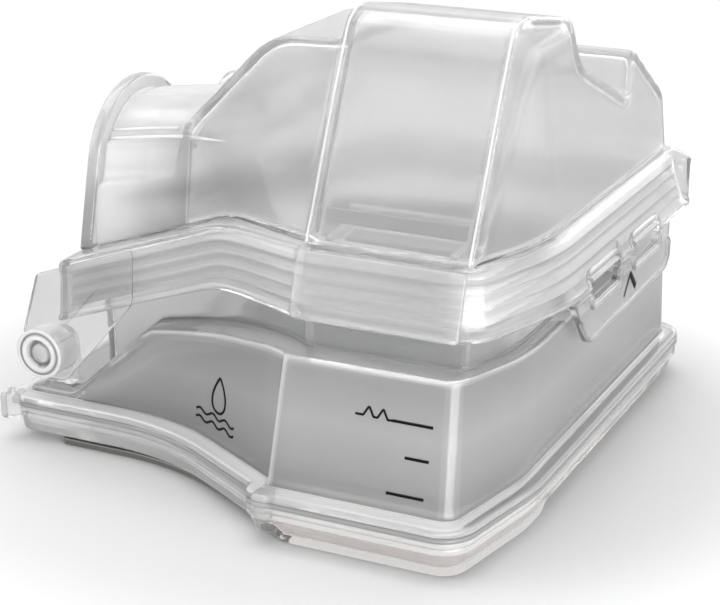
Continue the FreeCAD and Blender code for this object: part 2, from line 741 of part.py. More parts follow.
def hinge_cheek(name, front):
    """Cheek plate from the skirt down to the hinge, with the boss and its bore."""
    wall, outward = hinge_side(front)
    outer = wall + outward * (size("cheek_stand") + size("cheek_sheet"))
    inner = outer - outward * size("cheek_sheet")
    radius = size("boss_radius")
    ledge = rim_height(HINGE_X) + size("band_rise") - 1.5
    skirt_end = HINGE_X + size("cheek_reach")
    skirt_low = rim_height(skirt_end) - size("band_drop")
    skirt_high = rim_height(skirt_end) + size("band_rise")
    corners = [(HINGE_X - radius * 0.87, HINGE_Z - radius * 0.5, 0),
               (HINGE_X + radius * 0.2, HINGE_Z - radius, 0),
               (HINGE_X + radius * 1.1, HINGE_Z - radius * 0.62, 2.0),
               (skirt_end, skirt_low, 0), (skirt_end, skirt_high, 0), (HINGE_X + 0.6, ledge, 0.8),
               (HINGE_X - radius * 0.62, HINGE_Z + 5.0, 3.0)]
    cheek = front_view(corners, min(inner, outer), max(inner, outer))
    boss_start = outer - outward * size("boss_length")
    low = min(boss_start, outer)
    way = Vector(0, 1, 0)
    place = Vector(HINGE_X, low, HINGE_Z)
    boss = Part.makeCylinder(radius, size("boss_length"), place, way)
    bore = Part.makeCylinder(size("pin_radius") + size("pin_clearance"), size("boss_length") + 2,
                             place - way, way)
    bridge_low, bridge_high = sorted((wall + outward * 0.9, inner))
    bridge = band_solid(4.0).cut(band_solid(0)).common(
        box(-size("neck_left") - 5.2, skirt_end, bridge_low, bridge_high, 0, REACH))
    keep(name, cheek.fuse([boss, bridge]).cut(bore).cut(band_solid(0)))


def inlet_flange():
    """Arch-shaped sealing flange with a round bore."""
    flange = arch_solid(0, -size("port_face"), FLANGE_INNER, 0)
    flange = flange.common(above_ledge())
    bore = rod(size("inlet_radius") + size("collar_wall"), -REACH, REACH, -size("arch_centre"),
               size("inlet_level"))
    keep("inlet_flange", flange.cut(bore))


def inlet_roof():
    """Clear roof over the inlet, standing out of the arch wall."""
    inward = size("arch_rebate") + size("shelf_width")
    roof = arch_solid(inward, FLANGE_INNER, ARCH_END + 1.0, size("arch_flare"))
    roof = roof.cut(arch_solid(inward + WALL, FLANGE_INNER, ARCH_END + 1.0, size("arch_flare")))
    roof = roof.common(between(shelf_line(-3.0), SKY_LINE))
    end_face = dome_prism(0).common(dome_front_view(0)).common(dome_side_view(0))
    keep("inlet_roof", roof.cut(end_face))


def inlet_collar():
    outer = size("inlet_radius") + size("collar_wall")
    end = size("inlet_depth") - size("port_face")
    collar = rod(outer, -size("port_face"), end, -size("arch_centre"), size("inlet_level"))
    bore = rod(size("inlet_radius"), -REACH, REACH, -size("arch_centre"), size("inlet_level"))
    keep("inlet_collar", collar.cut(bore))


def outlet_flange():
    flange = outlet_solid(size("outlet_flange"), -size("port_face"), FLANGE_INNER).common(above_ledge())
    bore = rod(size("outlet_radius"), -REACH, REACH, size("outlet_place"), size("outlet_level"))
    keep("outlet_flange", flange.cut(bore))


def splash_baffle():
    """Cross rib inside the front of the dome, on two webs."""
    level = size("rim_level") + size("band_rise") - size("ledge_sheet")
    front = -30.0
    left = size("grip_left") + 2 * WALL
    right = left + 30.0
    rib = box(left, right, front, front + WALL, level, level + 6.0)
    for x in (left, right - WALL):
        rib = rib.fuse(box(x, x + WALL, -size("wall_front"), front, level, level + ledge_depth()))
    inside = dome_prism(WALL).fuse(grip_solid(WALL).common(above_ledge()))
    keep("splash_baffle", rib.common(inside))


def ledge_depth():
    return size("ledge_sheet") + 1.0


# ---- latch ----


def latch_plate():
    """Springy plate below the skirt; notches in its upper edge are the lower part of the windows."""
    made = body("latch_plate")
    outline_sketch = sketch(made, "latch_outline", "YZ", "sizes.latch_face - sizes.latch_sheet")
    top = "sizes.rim_level - sizes.band_drop - sizes.fit_gap"
    polygon(outline_sketch, [
        ("-sizes.latch_front + 8.5", "sizes.latch_bottom + 1.2"),
        ("-sizes.latch_front + 10.0", "sizes.latch_bottom"),
        ("sizes.latch_rear - 3.6", "sizes.latch_bottom"),
        ("sizes.latch_rear - 0.6", "sizes.latch_bottom + 2.6"),
        ("sizes.latch_rear", top),
        ("-sizes.latch_front", top),
    ])
    pad(made, outline_sketch, "latch_sheet_pad", "sizes.latch_sheet")
    windows = sketch(made, "latch_windows", "YZ", "sizes.latch_face - sizes.latch_sheet")
    for number in range(2):
        start = "sizes.window_front + %d * sizes.window_pitch" % number
        rectangle(windows, start, start + " + sizes.window_length", "sizes.window_level",
                  "sizes.rim_level")
    pocket(made, windows, "latch_window_cut", "sizes.latch_sheet", reverse=True)


def latch_bead():
    """Raised bead along the latch plate's lower edge and sides."""
    width = size("bead_size")
    face = size("latch_face")
    bottom = size("latch_bottom")
    front = -size("latch_front")
    rear = size("latch_rear")
    end = size("window_level") - 1.0
    edge = [(front + 2.6, end, 0), (front + 8.5, bottom + 1.2, 1.2), (front + 10.0, bottom, 1.2),
            (rear - 3.6, bottom, 3.0), (rear - 0.6, bottom + 2.6, 1.5), (rear - 0.2, end, 0)]
    inner = [(rear - 0.2 - width, end, 0), (rear - 0.6 - width, bottom + 2.6 + width * 0.4, 1.0),
             (rear - 3.6 - width * 0.4, bottom + width, 2.0),
             (front + 10.0 + width * 0.4, bottom + width, 0.8),
             (front + 8.5 + width, bottom + 1.2 + width * 0.4, 0.8), (front + 2.6 + width, end, 0)]
    keep("latch_bead", side_view(edge + inner, face, face + width * 0.6))


tub_shell()
bottom_pan()
heater_plate()
plate_gasket()
flange_lug("flange_lug_left", -size("wall_left") - size("flange_width") - 1.2,
           -size("recess_front") - size("flange_width") - 1.2, 5.0, 5.4)
flange_lug("flange_lug_ridge", size("ridge_place") - 0.9, -size("wall_front") - size("flange_width") - 1.0,
           4.0, 4.6)
hinge_ear("hinge_ear_front", True)
hinge_ear("hinge_ear_rear", False)
catch("catch_front", 0)
catch("catch_rear", 1)
lid_shell()
rim_band()
label_panel()
mid_seal()
hinge_cheek("hinge_cheek_front", True)
hinge_cheek("hinge_cheek_rear", False)
inlet_flange()
inlet_roof()
inlet_collar()
outlet_flange()
splash_baffle()
latch_plate()
latch_bead()

doc.recompute()
for item in doc.Objects:
    faults = [state for state in item.State if state in ("Invalid", "Error")]
    if faults:
        raise RuntimeError("%s: %s" % (item.Name, faults))
for item in placed:
    if item.Shape.isNull() or not item.Shape.isValid():
        raise RuntimeError("%s has no valid shape" % item.Label)

os.makedirs("parts", exist_ok=True)
for item in placed:
    item.Shape.exportStep("parts/%s.step" % item.Label)
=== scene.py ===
import math

import bmesh
import bpy
import numpy as np
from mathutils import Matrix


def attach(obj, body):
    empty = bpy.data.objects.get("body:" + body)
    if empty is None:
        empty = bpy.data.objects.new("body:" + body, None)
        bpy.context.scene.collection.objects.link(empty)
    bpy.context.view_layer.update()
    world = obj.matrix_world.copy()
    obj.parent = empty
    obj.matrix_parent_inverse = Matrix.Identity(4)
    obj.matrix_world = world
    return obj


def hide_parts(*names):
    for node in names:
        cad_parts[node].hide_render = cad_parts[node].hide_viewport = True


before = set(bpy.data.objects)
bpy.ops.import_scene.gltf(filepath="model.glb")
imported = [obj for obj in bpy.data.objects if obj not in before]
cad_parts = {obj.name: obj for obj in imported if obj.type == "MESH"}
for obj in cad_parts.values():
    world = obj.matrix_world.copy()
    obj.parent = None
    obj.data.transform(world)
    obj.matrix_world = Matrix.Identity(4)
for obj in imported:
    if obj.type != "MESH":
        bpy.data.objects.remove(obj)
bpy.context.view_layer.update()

MM = 0.001
TURN = 2 * math.pi

# Sizes in millimetres, in the frame of the solids: X to the right along the front, Y to the rear, Z up.
WALL = 1.8
FLANGE_WIDTH = 4.0
FLANGE_SPLIT = 8.2
WALL_FOOT = 11.2
LEDGE = 38.0
RIM = 46.5
ROUNDING = 0.8
HINGE_X = -54.8
HINGE_Z = 22.4
HINGE = (HINGE_X, HINGE_Z)
PORT_FACE = -49.4
FLANGE_INNER = -46.2
ARCH_Y = -9.5
ARCH_Z = 60.5
LATCH_FACE = 65.2
WINDOWS = (("front", -8.6), ("rear", 20.4))
WINDOW_WIDTH = 18.0
INLET = (ARCH_Y, 61.2)
INLET_BORE = 14.4
OUTLET = (36.8, 61.6)
OUTLET_BORE = 7.6


# ---- outlines and lines ----


def unit(rows):
    return rows / np.linalg.norm(rows, axis=1, keepdims=True)


def tangents(line):
    return unit(np.gradient(line, axis=0))


def eased(value, start, width):
    """Soft step from 0 to 1 over the width that begins at start: t * t * (3 - 2 * t)."""
    t = np.clip((value - start) / width, 0, 1)
    return t * t * (3 - 2 * t)


def inset(corners, amount):
    """Corners (u, v, radius) of an anticlockwise outline, each moved inward so that both of its runs move by
    amount: shift = (n1 + n2) * amount / (1 + n1.n2). A hollow corner's radius grows, any other's shrinks."""
    rows = np.asarray(corners, float)
    place, radius = rows[:, :2], rows[:, 2]
    before = unit(place - np.roll(place, 1, 0))
    after = unit(np.roll(place, -1, 0) - place)
    left_before = np.stack((-before[:, 1], before[:, 0]), 1)
    left_after = np.stack((-after[:, 1], after[:, 0]), 1)
    shift = (left_before + left_after) * (amount / (1 + (left_before * left_after).sum(1)))[:, None]
    hollow = before[:, 0] * after[:, 1] - before[:, 1] * after[:, 0] < 0
    grown = np.maximum(np.where(hollow, radius + amount, radius - amount), 0.4)
    return np.column_stack((place + shift, np.where(radius > 0, grown, 0)))


def around(corners, arc=12, runs=30):
    """Points along an outline. At each corner an arc tangent to both runs, a slerp of the two spokes from its
    centre; between corners a straight run in equal steps. runs is one count or one per corner."""
    rows = np.asarray(corners, float)
    place, radius = rows[:, :2], rows[:, 2]
    back = np.roll(place, 1, 0) - place
    ahead = np.roll(place, -1, 0) - place
    back_length = np.linalg.norm(back, axis=1)
    ahead_length = np.linalg.norm(ahead, axis=1)
    back /= back_length[:, None]
    ahead /= ahead_length[:, None]
    turn = math.pi - np.arccos(np.clip((back * ahead).sum(1), -1, 1))
    turn = np.maximum(turn, 1e-4)
    reach = np.minimum(radius * np.tan(turn / 2), 0.48 * np.minimum(back_length, ahead_length))
    inward = back + ahead
    inward /= np.maximum(np.linalg.norm(inward, axis=1), 1e-9)[:, None]
    arc_radius = reach / np.tan(turn / 2)
    centre = place + inward * np.hypot(reach, arc_radius)[:, None]
    start = place + back * reach[:, None]
    end = place + ahead * reach[:, None]
    share = np.linspace(0, 1, arc)
    near = np.sin((1 - share)[None, :] * turn[:, None]) / np.sin(turn)[:, None]
    far = np.sin(share[None, :] * turn[:, None]) / np.sin(turn)[:, None]
    near, far = near[:, :, None], far[:, :, None]
    arcs = centre[:, None] + near * (start - centre)[:, None] + far * (end - centre)[:, None]
    counts = np.broadcast_to(runs, len(rows))
    following = np.roll(start, -1, 0)
    parts = []
    for k in range(len(rows)):
        steps = np.linspace(0, 1, counts[k] + 2)[1:-1, None]
        parts += [arcs[k], end[k] + (following[k] - end[k]) * steps]
    return np.concatenate(parts)


def bent(points, arc=12, runs=14):
    """Open line through points (u, v, radius) with tangent arcs at its inner corners."""
    line = around(points, arc, runs)[arc - 1:(len(points) - 1) * (arc + runs) + 1]
    moved = np.linalg.norm(np.diff(line, axis=0), axis=1) > 1e-6
    return line[np.concatenate(([True], moved))]


def level_line(points):
    """Height as a function of x, along a bent line."""
    line = bent(points, 16, 2)
    return lambda x: np.interp(x, line[:, 0], line[:, 1])


ledge_line = level_line([(-90, 12.7, 0), (-48.6, 12.7, 5), (-28.5, 31.2, 6), (10, LEDGE - 0.3, 30),
                         (90, LEDGE, 0)])
rim_line = level_line([(-90, RIM - 0.342 * 80.5, 0), (-9.5, RIM, 25), (90, RIM, 0)])


def plan(left, right, front, recess, rear, ridge, bend, cut, bow, radii, step=0.6):
    """Eight corners of one level: set-back left half, hollow curve, ridge, front, bowed right side, rear."""
    left_radius, bend_radius, ridge_radius, corner_radius, bow_radius, rear_radius = radii
    return np.array([
        (left, recess, left_radius), (bend, recess, bend_radius),
        (ridge - 0.2 * step, front + step, ridge_radius), (ridge, front, 0.5 * ridge_radius),
        (right - cut, front, corner_radius), (right - 0.8, bow, bow_radius),
        (right, rear, rear_radius), (left, rear, rear_radius)])


FOOT = plan(-60.6, 61.3, -63.5, -41.0, 64.0, 13.6, -21.0, 5.8, -38.0, (1, 60, 1.2, 4, 50, 5), 3.2)
SHOULDER = plan(-59.6, 60.8, -54.5, -40.0, 62.5, 13.8, -13.0, 8.3, -34.0, (1, 80, 1.2, 3.5, 55, 5))
NECK = plan(-45.0, 57.0, -47.9, -32.6, 55.5, 15.3, -11.0, 5.2, -33.0, (3, 60, 2, 3, 50, 5))
LAYER = inset(FOOT, 0.4 - FLANGE_WIDTH)
DOME_FOOT = plan(FLANGE_INNER, 61.0, -44.8, -33.5, 62.5, 13.6, -14.0, 8.8, -25.0, (1, 50, 3, 4, 50, 6))


def band_plan(lean):
    return plan(-50.2, 65.6 - lean, -51.0 + lean, lean / 4 - 42.0, 65.0 - lean / 3, 13.4, -6.0,
                10.1 - lean / 3, -20.0, (2, 45, 1.5, 10, 60, 4))


# ---- meshes ----

EDGE_GAIN = 0.0016


def volume_of(points, faces):
    a, b, c, d = (points[faces[:, k]] for k in range(4))
    return (np.einsum("ij,ij->i", a, np.cross(b, c)) + np.einsum("ij,ij->i", a, np.cross(c, d))).sum() / 6


def read(rows, label, width=3, kind=float):
    """One value of every row of a mesh's list, in columns of that width."""
    values = np.empty(len(rows) * width, kind)
    rows.foreach_get(label, values)
    return values.reshape(-1, width) if width > 1 else values


def mark(mesh, label, values):
    """Keeps one value per vertex as an attribute that the materials read."""
    found = mesh.attributes.get(label) or mesh.attributes.new(label, "FLOAT", "POINT")
    found.data.foreach_set("value", np.ascontiguousarray(values))


def mark_edges(mesh):
    """Marks of each vertex p with normal n. "edge" is the largest n.(p - q) / |p - q|^2 over its neighbours
    q, half the curvature across a convex edge, times EDGE_GAIN and kept to 0..1; the materials use it to
    paint a highlight along convex edges. "crease" is the same with the sign turned, for hollow edges, where
    the materials paint shade. "level" is the height p.z, in metres."""
    place, normal = read(mesh.vertices, "co"), read(mesh.vertices, "normal")
    pairs = read(mesh.edges, "vertices", 2, np.int32)
    gap = place[pairs[:, 0]] - place[pairs[:, 1]]
    square = (gap ** 2).sum(1) + 1e-12
    here = (normal[pairs[:, 0]] * gap).sum(1) / square
    there = -(normal[pairs[:, 1]] * gap).sum(1) / square
    for label, sign in (("edge", 1), ("crease", -1)):
        bend = np.zeros(len(place))
        np.maximum.at(bend, pairs[:, 0], sign * here)
        np.maximum.at(bend, pairs[:, 1], sign * there)
        mark(mesh, label, np.clip(bend * EDGE_GAIN, 0, 1))
    mark(mesh, "level", place[:, 2])


def placed(name, data):
    """New object in the scene."""
    item = bpy.data.objects.new(name, data)
    bpy.context.scene.collection.objects.link(item)
    return item


def skin(name, grid, wear, nodes=(), joined=True):
    """Closed piece of a grid of points (rows, columns, 3) in millimetres: every row is a closed ring, and the
    last row joins the first, or both end rows are closed by a face of their own. Its faces point outward.
    wear names its body, a slot that is not used, and its material; nodes are the solids that it stands for."""
    body, slot, material = wear
    rows, columns = grid.shape[:2]
    points = grid.reshape(-1, 3) * MM
    i = np.arange(rows if joined else rows - 1)[:, None]
    j = np.arange(columns)[None, :]
    here, following = i * columns, (i + 1) % rows * columns
    beside = (j + 1) % columns
    faces = np.stack((here + j, here + beside, following + beside, following + j), -1).reshape(-1, 4)
    outward = volume_of(points - points.mean(0), faces) > 0
    listed = (faces if outward else faces[:, ::-1]).tolist()
    if not joined:
        first = list(range(columns))
        last = list(range((rows - 1) * columns, rows * columns))
        listed += [first[::-1], last] if outward else [first, last[::-1]]
    mesh = bpy.data.meshes.new(name)
    mesh.from_pydata(points.tolist(), [], listed)
    mesh.shade_smooth()
    mesh.update()
    mark_edges(mesh)
    piece = placed(name, mesh)
    mesh.materials.append(material)
    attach(piece, body)
    if nodes:
        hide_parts(*nodes)
    return piece


def turned(points, w, plane):
    """Ring of a plate: outline points (u, v) at the depth w, laid in the plane by name."""
    u, v = points.T
    w = np.full(len(points), w)
    return np.stack({"level": (u, v, w), "front": (u, w, v), "side": (w, u, v)}[plane], -1)


def edge_steps(low, high, edge, steps=4):
    """Inward step and height of the rings of a plate: quarter-circle edges with a support ring beside each,
    from the lower face to the higher one."""
    low, high = sorted((low, high))
    a = np.linspace(0, math.pi / 2, steps + 1)
    inward = edge * (1 - np.sin(a))
    rise = edge * (1 - np.cos(a))
    return (np.concatenate(([edge + 0.25], inward, inward[::-1], [edge + 0.25])),
            np.concatenate(([low], low + rise, high - rise[::-1], [high])))


def plate(name, corners, low, high, edge, plane, wear, nodes=(), arc=8, runs=6, bend=None):
    """Plate of an outline with rounded edges. bend changes the finished points, such as a lean."""
    grid = np.array([turned(around(inset(corners, step), arc, runs), w, plane)
                     for step, w in zip(*edge_steps(low, high, edge))])
    if bend:
        grid = bend(grid)
    return skin(name, grid, wear, nodes, joined=False)


def rectangle(u_low, u_high, v_low, v_high, radius):
    return np.array([(u_low, v_low, radius), (u_high, v_low, radius), (u_high, v_high, radius),
                     (u_low, v_high, radius)])


def pierced(name, line, centre, bore, low, high, edge, plane, wear, nodes=(), bend=None):
    """Plate with a round bore: rings run over the outer edge, across one face to the bore, through it and
    back. Each ring point keeps its bearing from the bore's centre. line(step) gives the outer line moved in
    by step."""
    low, high = sorted((low, high))
    inward, level = (row[1:-1] for row in edge_steps(low, high, edge))
    rim = line(edge)
    spokes = unit(rim - centre)

    def bored(step, w):
        return turned(centre + (bore + step) * spokes, w, plane)

    def face(w, shares):
        near, far = bored(edge, w), turned(rim, w, plane)
        return [far + (near - far) * share for share in shares]

    across = np.linspace(0.1, 0.9, 5)
    half = len(inward) // 2
    outside = [turned(line(step), w, plane) for step, w in zip(inward, level)]
    inside = [bored(step, w) for step, w in zip(inward[::-1], level[::-1])]
    grid = np.array(outside[half:] + face(high, across) + inside + face(low, across[::-1]) + outside[:half])
    if bend:
        grid = bend(grid)
    return skin(name, grid, wear, nodes)


def also(piece, material, chosen):
    """Gives a further material to the faces that chosen(x, y, z) picks by their middles, in millimetres."""
    mesh = piece.data
    index = read(mesh.polygons, "material_index", 1, np.int32)
    mesh.materials.append(material)
    index[chosen(*(read(mesh.polygons, "center").T / MM))] = len(mesh.materials) - 1
    mesh.polygons.foreach_set("material_index", index)


def lathe(name, profile, centre, axis, wear, nodes=(), joined=True, count=48):
    """Turned piece: profile rows (radius, place along the axis) go once round the axis through centre."""
    a = np.linspace(0, TURN, count, endpoint=False)
    radius, place = np.asarray(profile).T[:, :, None]
    u = centre[0] + radius * np.cos(a)
    v = centre[1] + radius * np.sin(a)
    place = np.broadcast_to(place, u.shape)
    grid = np.stack((place, u, v) if axis == "x" else (u, place, v), -1)
    return skin(name, grid, wear, nodes, joined)


def tube_profile(inner, outer, low, high, edge=0.5):
    """Closed section of a tube with quarter-circle edges."""
    low, high = sorted((low, high))
    corners = [(inner, low, edge), (outer, low, edge), (outer, high, edge), (inner, high, edge)]
    return around(corners, 5, 3)


def swept(line, side, up, wide, high, count):
    """Rings of points round a line: line + side * wide * cos(a) + up * high * sin(a)."""
    a = np.linspace(0, TURN, count, endpoint=False)[:, None]
    wide, high = (np.broadcast_to(size, len(line))[:, None, None] for size in (wide, high))
    return line[:, None] + wide * np.cos(a) * side[:, None] + high * np.sin(a) * up[:, None]


def bead(name, face, line, width, height, wear, nodes=()):
    """Half-round bead along a line (y, z) on the right side, where x is face: its rings are ellipses, tapered
    at both ends."""
    line = np.column_stack((np.broadcast_to(face, len(line)), line))
    out = np.broadcast_to((1.0, 0.0, 0.0), line.shape)
    across = unit(np.cross(tangents(line), out))
    count = np.arange(len(line))
    taper = np.sqrt(np.clip(np.minimum(count, count[::-1]) / 3.0, 0.02, 1.0))
    grid = swept(line, across, out, taper * width / 2, taper * height, 16)
    return skin(name, grid, wear, nodes, joined=False)


def rod(name, line, radii, wear):
    """Round rod along a line of points, its radius read along the line."""
    along = tangents(line)
    side = unit(np.cross(along, (0.0, 0.0, 1.0)))
    radius = np.interp(np.linspace(0, 1, len(line)), np.linspace(0, 1, len(radii)), radii)
    return skin(name, swept(line, side, np.cross(side, along), radius, radius, 14), wear, joined=False)


# ---- materials ----


def feed(tree, target, given):
    """Sets inputs of a node, or links those whose value is another node's output."""
    for label, value in given.items():
        if isinstance(value, bpy.types.NodeSocket):
            tree.links.new(value, target.inputs[label])
        else:
            target.inputs[label].default_value = value


def add(tree, kind, given=None, **settings):
    """New node with its settings and its inputs."""
    made = tree.nodes.new("ShaderNode" + kind)
    for label, value in settings.items():
        setattr(made, label, value)
    feed(tree, made, given or {})
    return made


def combined(tree, operation, first, second):
    return add(tree, "Math", {0: first, 1: second}, operation=operation).outputs[0]


def scaled(tree, colour, share):
    return add(tree, "VectorMath", {0: colour, "Scale": share}, operation="SCALE").outputs["Vector"]


def ranged(tree, value, low, high, to_low=0.0, to_high=1.0, kind="LINEAR"):
    """Value taken from low..high to to_low..to_high and kept there."""
    given = {"Value": value, "From Min": low, "From Max": high, "To Min": to_low, "To Max": to_high}
    return add(tree, "MapRange", given, interpolation_type=kind).outputs["Result"]


def marked(tree, label):
    """A mesh's own mark: edge, crease, level or shade."""
    return add(tree, "Attribute", attribute_name=label).outputs["Fac"]


MOULDED_INPUTS = ("Grain Scale", "Grain Height", "Flow Height", "Roughness", "Roughness Spread")


def mask_group():
    """Uneven moulded surface: slow flow lines and a fine grain, as a mask, a roughness and a normal."""
    group = bpy.data.node_groups.new("moulded_surface", "ShaderNodeTree")
    for label in MOULDED_INPUTS:
        group.interface.new_socket(label, in_out="INPUT", socket_type="NodeSocketFloat")
    for label, kind in (("Flow", "Float"), ("Roughness", "Float"), ("Normal", "Vector")):
        group.interface.new_socket(label, in_out="OUTPUT", socket_type="NodeSocket" + kind)
    given = group.nodes.new("NodeGroupInput").outputs
    place = add(group, "TexCoord").outputs["Object"]
    flow = add(group, "TexNoise", {"Vector": place, "Scale": 22.0, "Detail": 2.0}).outputs["Fac"]
    grain = add(group, "TexNoise", {"Vector": place, "Scale": given["Grain Scale"], "Detail": 3.0})
    spread = combined(group, "MULTIPLY", flow, given["Roughness Spread"])
    fine = add(group, "Bump", {"Distance": 0.0002, "Height": grain.outputs["Fac"],
                               "Strength": given["Grain Height"]})
    slow = add(group, "Bump", {"Distance": 0.001, "Height": flow, "Strength": given["Flow Height"],
                               "Normal": fine.outputs["Normal"]})
    feed(group, group.nodes.new("NodeGroupOutput"), {
        "Flow": flow, "Roughness": combined(group, "ADD", spread, given["Roughness"]),
        "Normal": slow.outputs["Normal"]})
    return group


MOULDED = mask_group()
RAMP_TOP = 110.0


def base_material(name, zones, edge_highlight_tint, edge_highlight_share, moulded, left_shade_share=1.0):
    """Principled material. Its colour follows the zones (level in mm, colour) up the piece, drifts slowly, is
    scaled by the left share on the left half below the ledge (painted shade) and by 1 - shade where a piece
    has that attribute (painted shade too), turns into the edge tint along convex edges (a painted highlight),
    and darkens to 0.7 of itself along hollow ones (painted shade in them). moulded gives the moulded
    surface's inputs in their order."""
    made = bpy.data.materials.new(name)
    made.use_nodes = True
    tree = made.node_tree
    surface = add(tree, "Group", node_tree=MOULDED)
    feed(tree, surface, dict(zip(MOULDED_INPUTS, moulded)))
    place = add(tree, "SeparateXYZ", {0: add(tree, "TexCoord").outputs["Object"]}).outputs
    level = marked(tree, "level")
    ramp = add(tree, "ValToRGB", {"Fac": ranged(tree, level, 0.0, RAMP_TOP * MM)})
    stops = ramp.color_ramp.elements
    while len(stops) < len(zones):
        stops.new(0.5)
    while len(stops) > len(zones):
        stops.remove(stops[-1])
    for stop, (top, tint) in zip(stops, zones):
        stop.position = top / RAMP_TOP
        stop.color = (*tint, 1)
    # painted shade: on the left half below the ledge the colour is scaled down by the left share
    side = ranged(tree, place["X"], 0.006, 0.014, left_shade_share, 1.0, "SMOOTHSTEP")
    share = combined(tree, "MAXIMUM", side, ranged(tree, level, 0.037, 0.0385))
    # painted shade: the shade mark darkens the colour
    unshaded = combined(tree, "SUBTRACT", 1.0, marked(tree, "shade"))
    share = combined(tree, "MULTIPLY", share, unshaded)
    share = combined(tree, "MULTIPLY", share, ranged(tree, surface.outputs["Flow"], 0.0, 1.0, 0.9, 1.06))
    # painted highlight: along convex edges the colour turns toward the edge tint
    edge = add(tree, "Mix", {"A": scaled(tree, ramp.outputs["Color"], share), "B": (*edge_highlight_tint, 1),
                             "Factor": ranged(tree, marked(tree, "edge"), 0.12, 0.7, 0.0, edge_highlight_share)},
               data_type="RGBA")
    # painted shade: along hollow edges the colour darkens to 0.7 of itself
    hollow = ranged(tree, marked(tree, "crease"), 0.15, 0.8, 1.0, 0.7)
    shader = tree.nodes["Principled BSDF"]
    feed(tree, shader, {"Base Color": scaled(tree, edge.outputs["Result"], hollow),
                        "Roughness": surface.outputs["Roughness"], "Normal": surface.outputs["Normal"]})
    return made, shader


def clear_plastic(name, zones, clearness, rough, index=1.34, gloss=0.4, sheen=0.06, grain=0.03,
                  edge_highlight_share=0.85, left_shade_share=1.0):
    """Clear plastic with a coat. zones is one grey, or a list of (level in mm, grey or colour)."""
    if not isinstance(zones, list):
        zones = [(0, zones)]
    zones = [(level, tint if isinstance(tint, tuple) else (tint, tint, tint)) for level, tint in zones]
    # convex edges are painted near white, a painted highlight
    made, shader = base_material(name, zones, (0.98, 0.98, 0.975), edge_highlight_share,
                                 (2600.0, grain, 0.08, rough, 0.06), left_shade_share)
    shader.inputs["Transmission Weight"].default_value = clearness
    shader.inputs["IOR"].default_value = index
    shader.inputs["Coat Weight"].default_value = gloss
    shader.inputs["Coat Roughness"].default_value = sheen
    return made


SHELL = clear_plastic("smoky_polycarbonate", 0.97, 0.84, 0.10, grain=0.04)
# painted shade: the wall's grey by height, darkest at its foot and darker again under the ledge, and its
# darker left half
WALL_PLASTIC = clear_plastic("wall_painted_shade", [(9, 0.33), (18, 0.50), (26, 0.59), (37, 0.46)], 0.52, 0.12,
                             grain=0.05, edge_highlight_share=0.65, left_shade_share=0.90)
FLANGE = clear_plastic("flange_polycarbonate", 0.98, 0.70, 0.10)
PORT = clear_plastic("port_polycarbonate", 0.98, 0.82, 0.06)
MILKY = clear_plastic("milky_polycarbonate", 0.99, 0.40, 0.16, gloss=0.2)
# painted reflection: below 4.6 mm, round the keel, a warm tint stands for a reflection in the clear pan
PAN = clear_plastic("clear_plastic_painted_warm_reflection", [(4.6, (0.97, 0.93, 0.915)), (5.4, (0.97, 0.965, 0.96))],
                    0.92, 0.04)
DOME = clear_plastic("satin_polycarbonate", [(50, 0.96), (95, 0.98)], 0.86, 0.18, grain=0.03, gloss=0.5)
# painted highlight: near-white material for rods that stand for light along rounded edges
HIGHLIGHT_ROD = clear_plastic("painted_edge_highlight", 0.99, 0.30, 0.10, gloss=0.6, edge_highlight_share=1.0)
TRIM = clear_plastic("polished_polycarbonate", 0.98, 0.92, 0.04)
BAND = clear_plastic("band_polycarbonate", 0.98, 0.90, 0.08, sheen=0.24)
LABEL = clear_plastic("label_polycarbonate", 0.96, 0.82, 0.10)
SEAL = clear_plastic("soft_silicone", 0.94, 0.35, 0.20, index=1.45, gloss=1.0, edge_highlight_share=1.0)
# painted highlight: pale material for the seal's rib crests round the front right corner
SEAL_HIGHLIGHT = clear_plastic("silicone_painted_highlight", 0.99, 0.05, 0.20, index=1.45, gloss=1.0, edge_highlight_share=1.0)
SMOKE = clear_plastic("smoky_rib", 0.34, 0.35, 0.22, edge_highlight_share=0.2)
# painted shade: dark material for the strip behind the dome's front
BAFFLE_SHADE = clear_plastic("shaded_rib", 0.30, 0.10, 0.20, gloss=0.1, edge_highlight_share=0.0)
DECK = clear_plastic("deck_polycarbonate", [(50, 0.95), (62, 0.88), (76, 0.70), (95, 0.52)], 0.50, 0.20)


def metal_plate(name, tint, edge_highlight_share):
    # convex edges are painted a lighter grey, a painted highlight
    made, shader = base_material(name, [(0, tint)], (0.62, 0.62, 0.63), edge_highlight_share,
                                 (2400.0, 0.06, 0.05, 0.30, 0.12))
    shader.inputs["Metallic"].default_value = 1.0
    return made


def print_ink():
    made, shader = base_material("print_ink", [(0, (0.006, 0.006, 0.007))], (0.01, 0.01, 0.01), 0.2,
                                 (3000.0, 0.02, 0.0, 0.45, 0.1))
    shader.inputs["Specular IOR Level"].default_value = 0.1
    return made


METAL = metal_plate("dull_metal", (0.40, 0.41, 0.42), 0.6)
# painted shade: near-black metal for the plate's foot strip
PAINTED_SHADE_METAL = metal_plate("shaded_metal", (0.15, 0.15, 0.14), 0.1)
INK = print_ink()


def trim(material, body="lid"):
    return body, "clear_trim", material


# ---- base ----


def leaning_ring(low, high, foot, head, level_at):
    """Ring of a leaning wall whose outline is low at the level foot and high at the level head. The ring's
    level depends on x, so it is found in three rounds."""
    place = low
    for _ in range(3):
        level = level_at(place[:, 0])
        place = low + (high - low) * np.clip((level - foot) / (head - foot), 0, 1)[:, None]
    return np.column_stack((place, level))


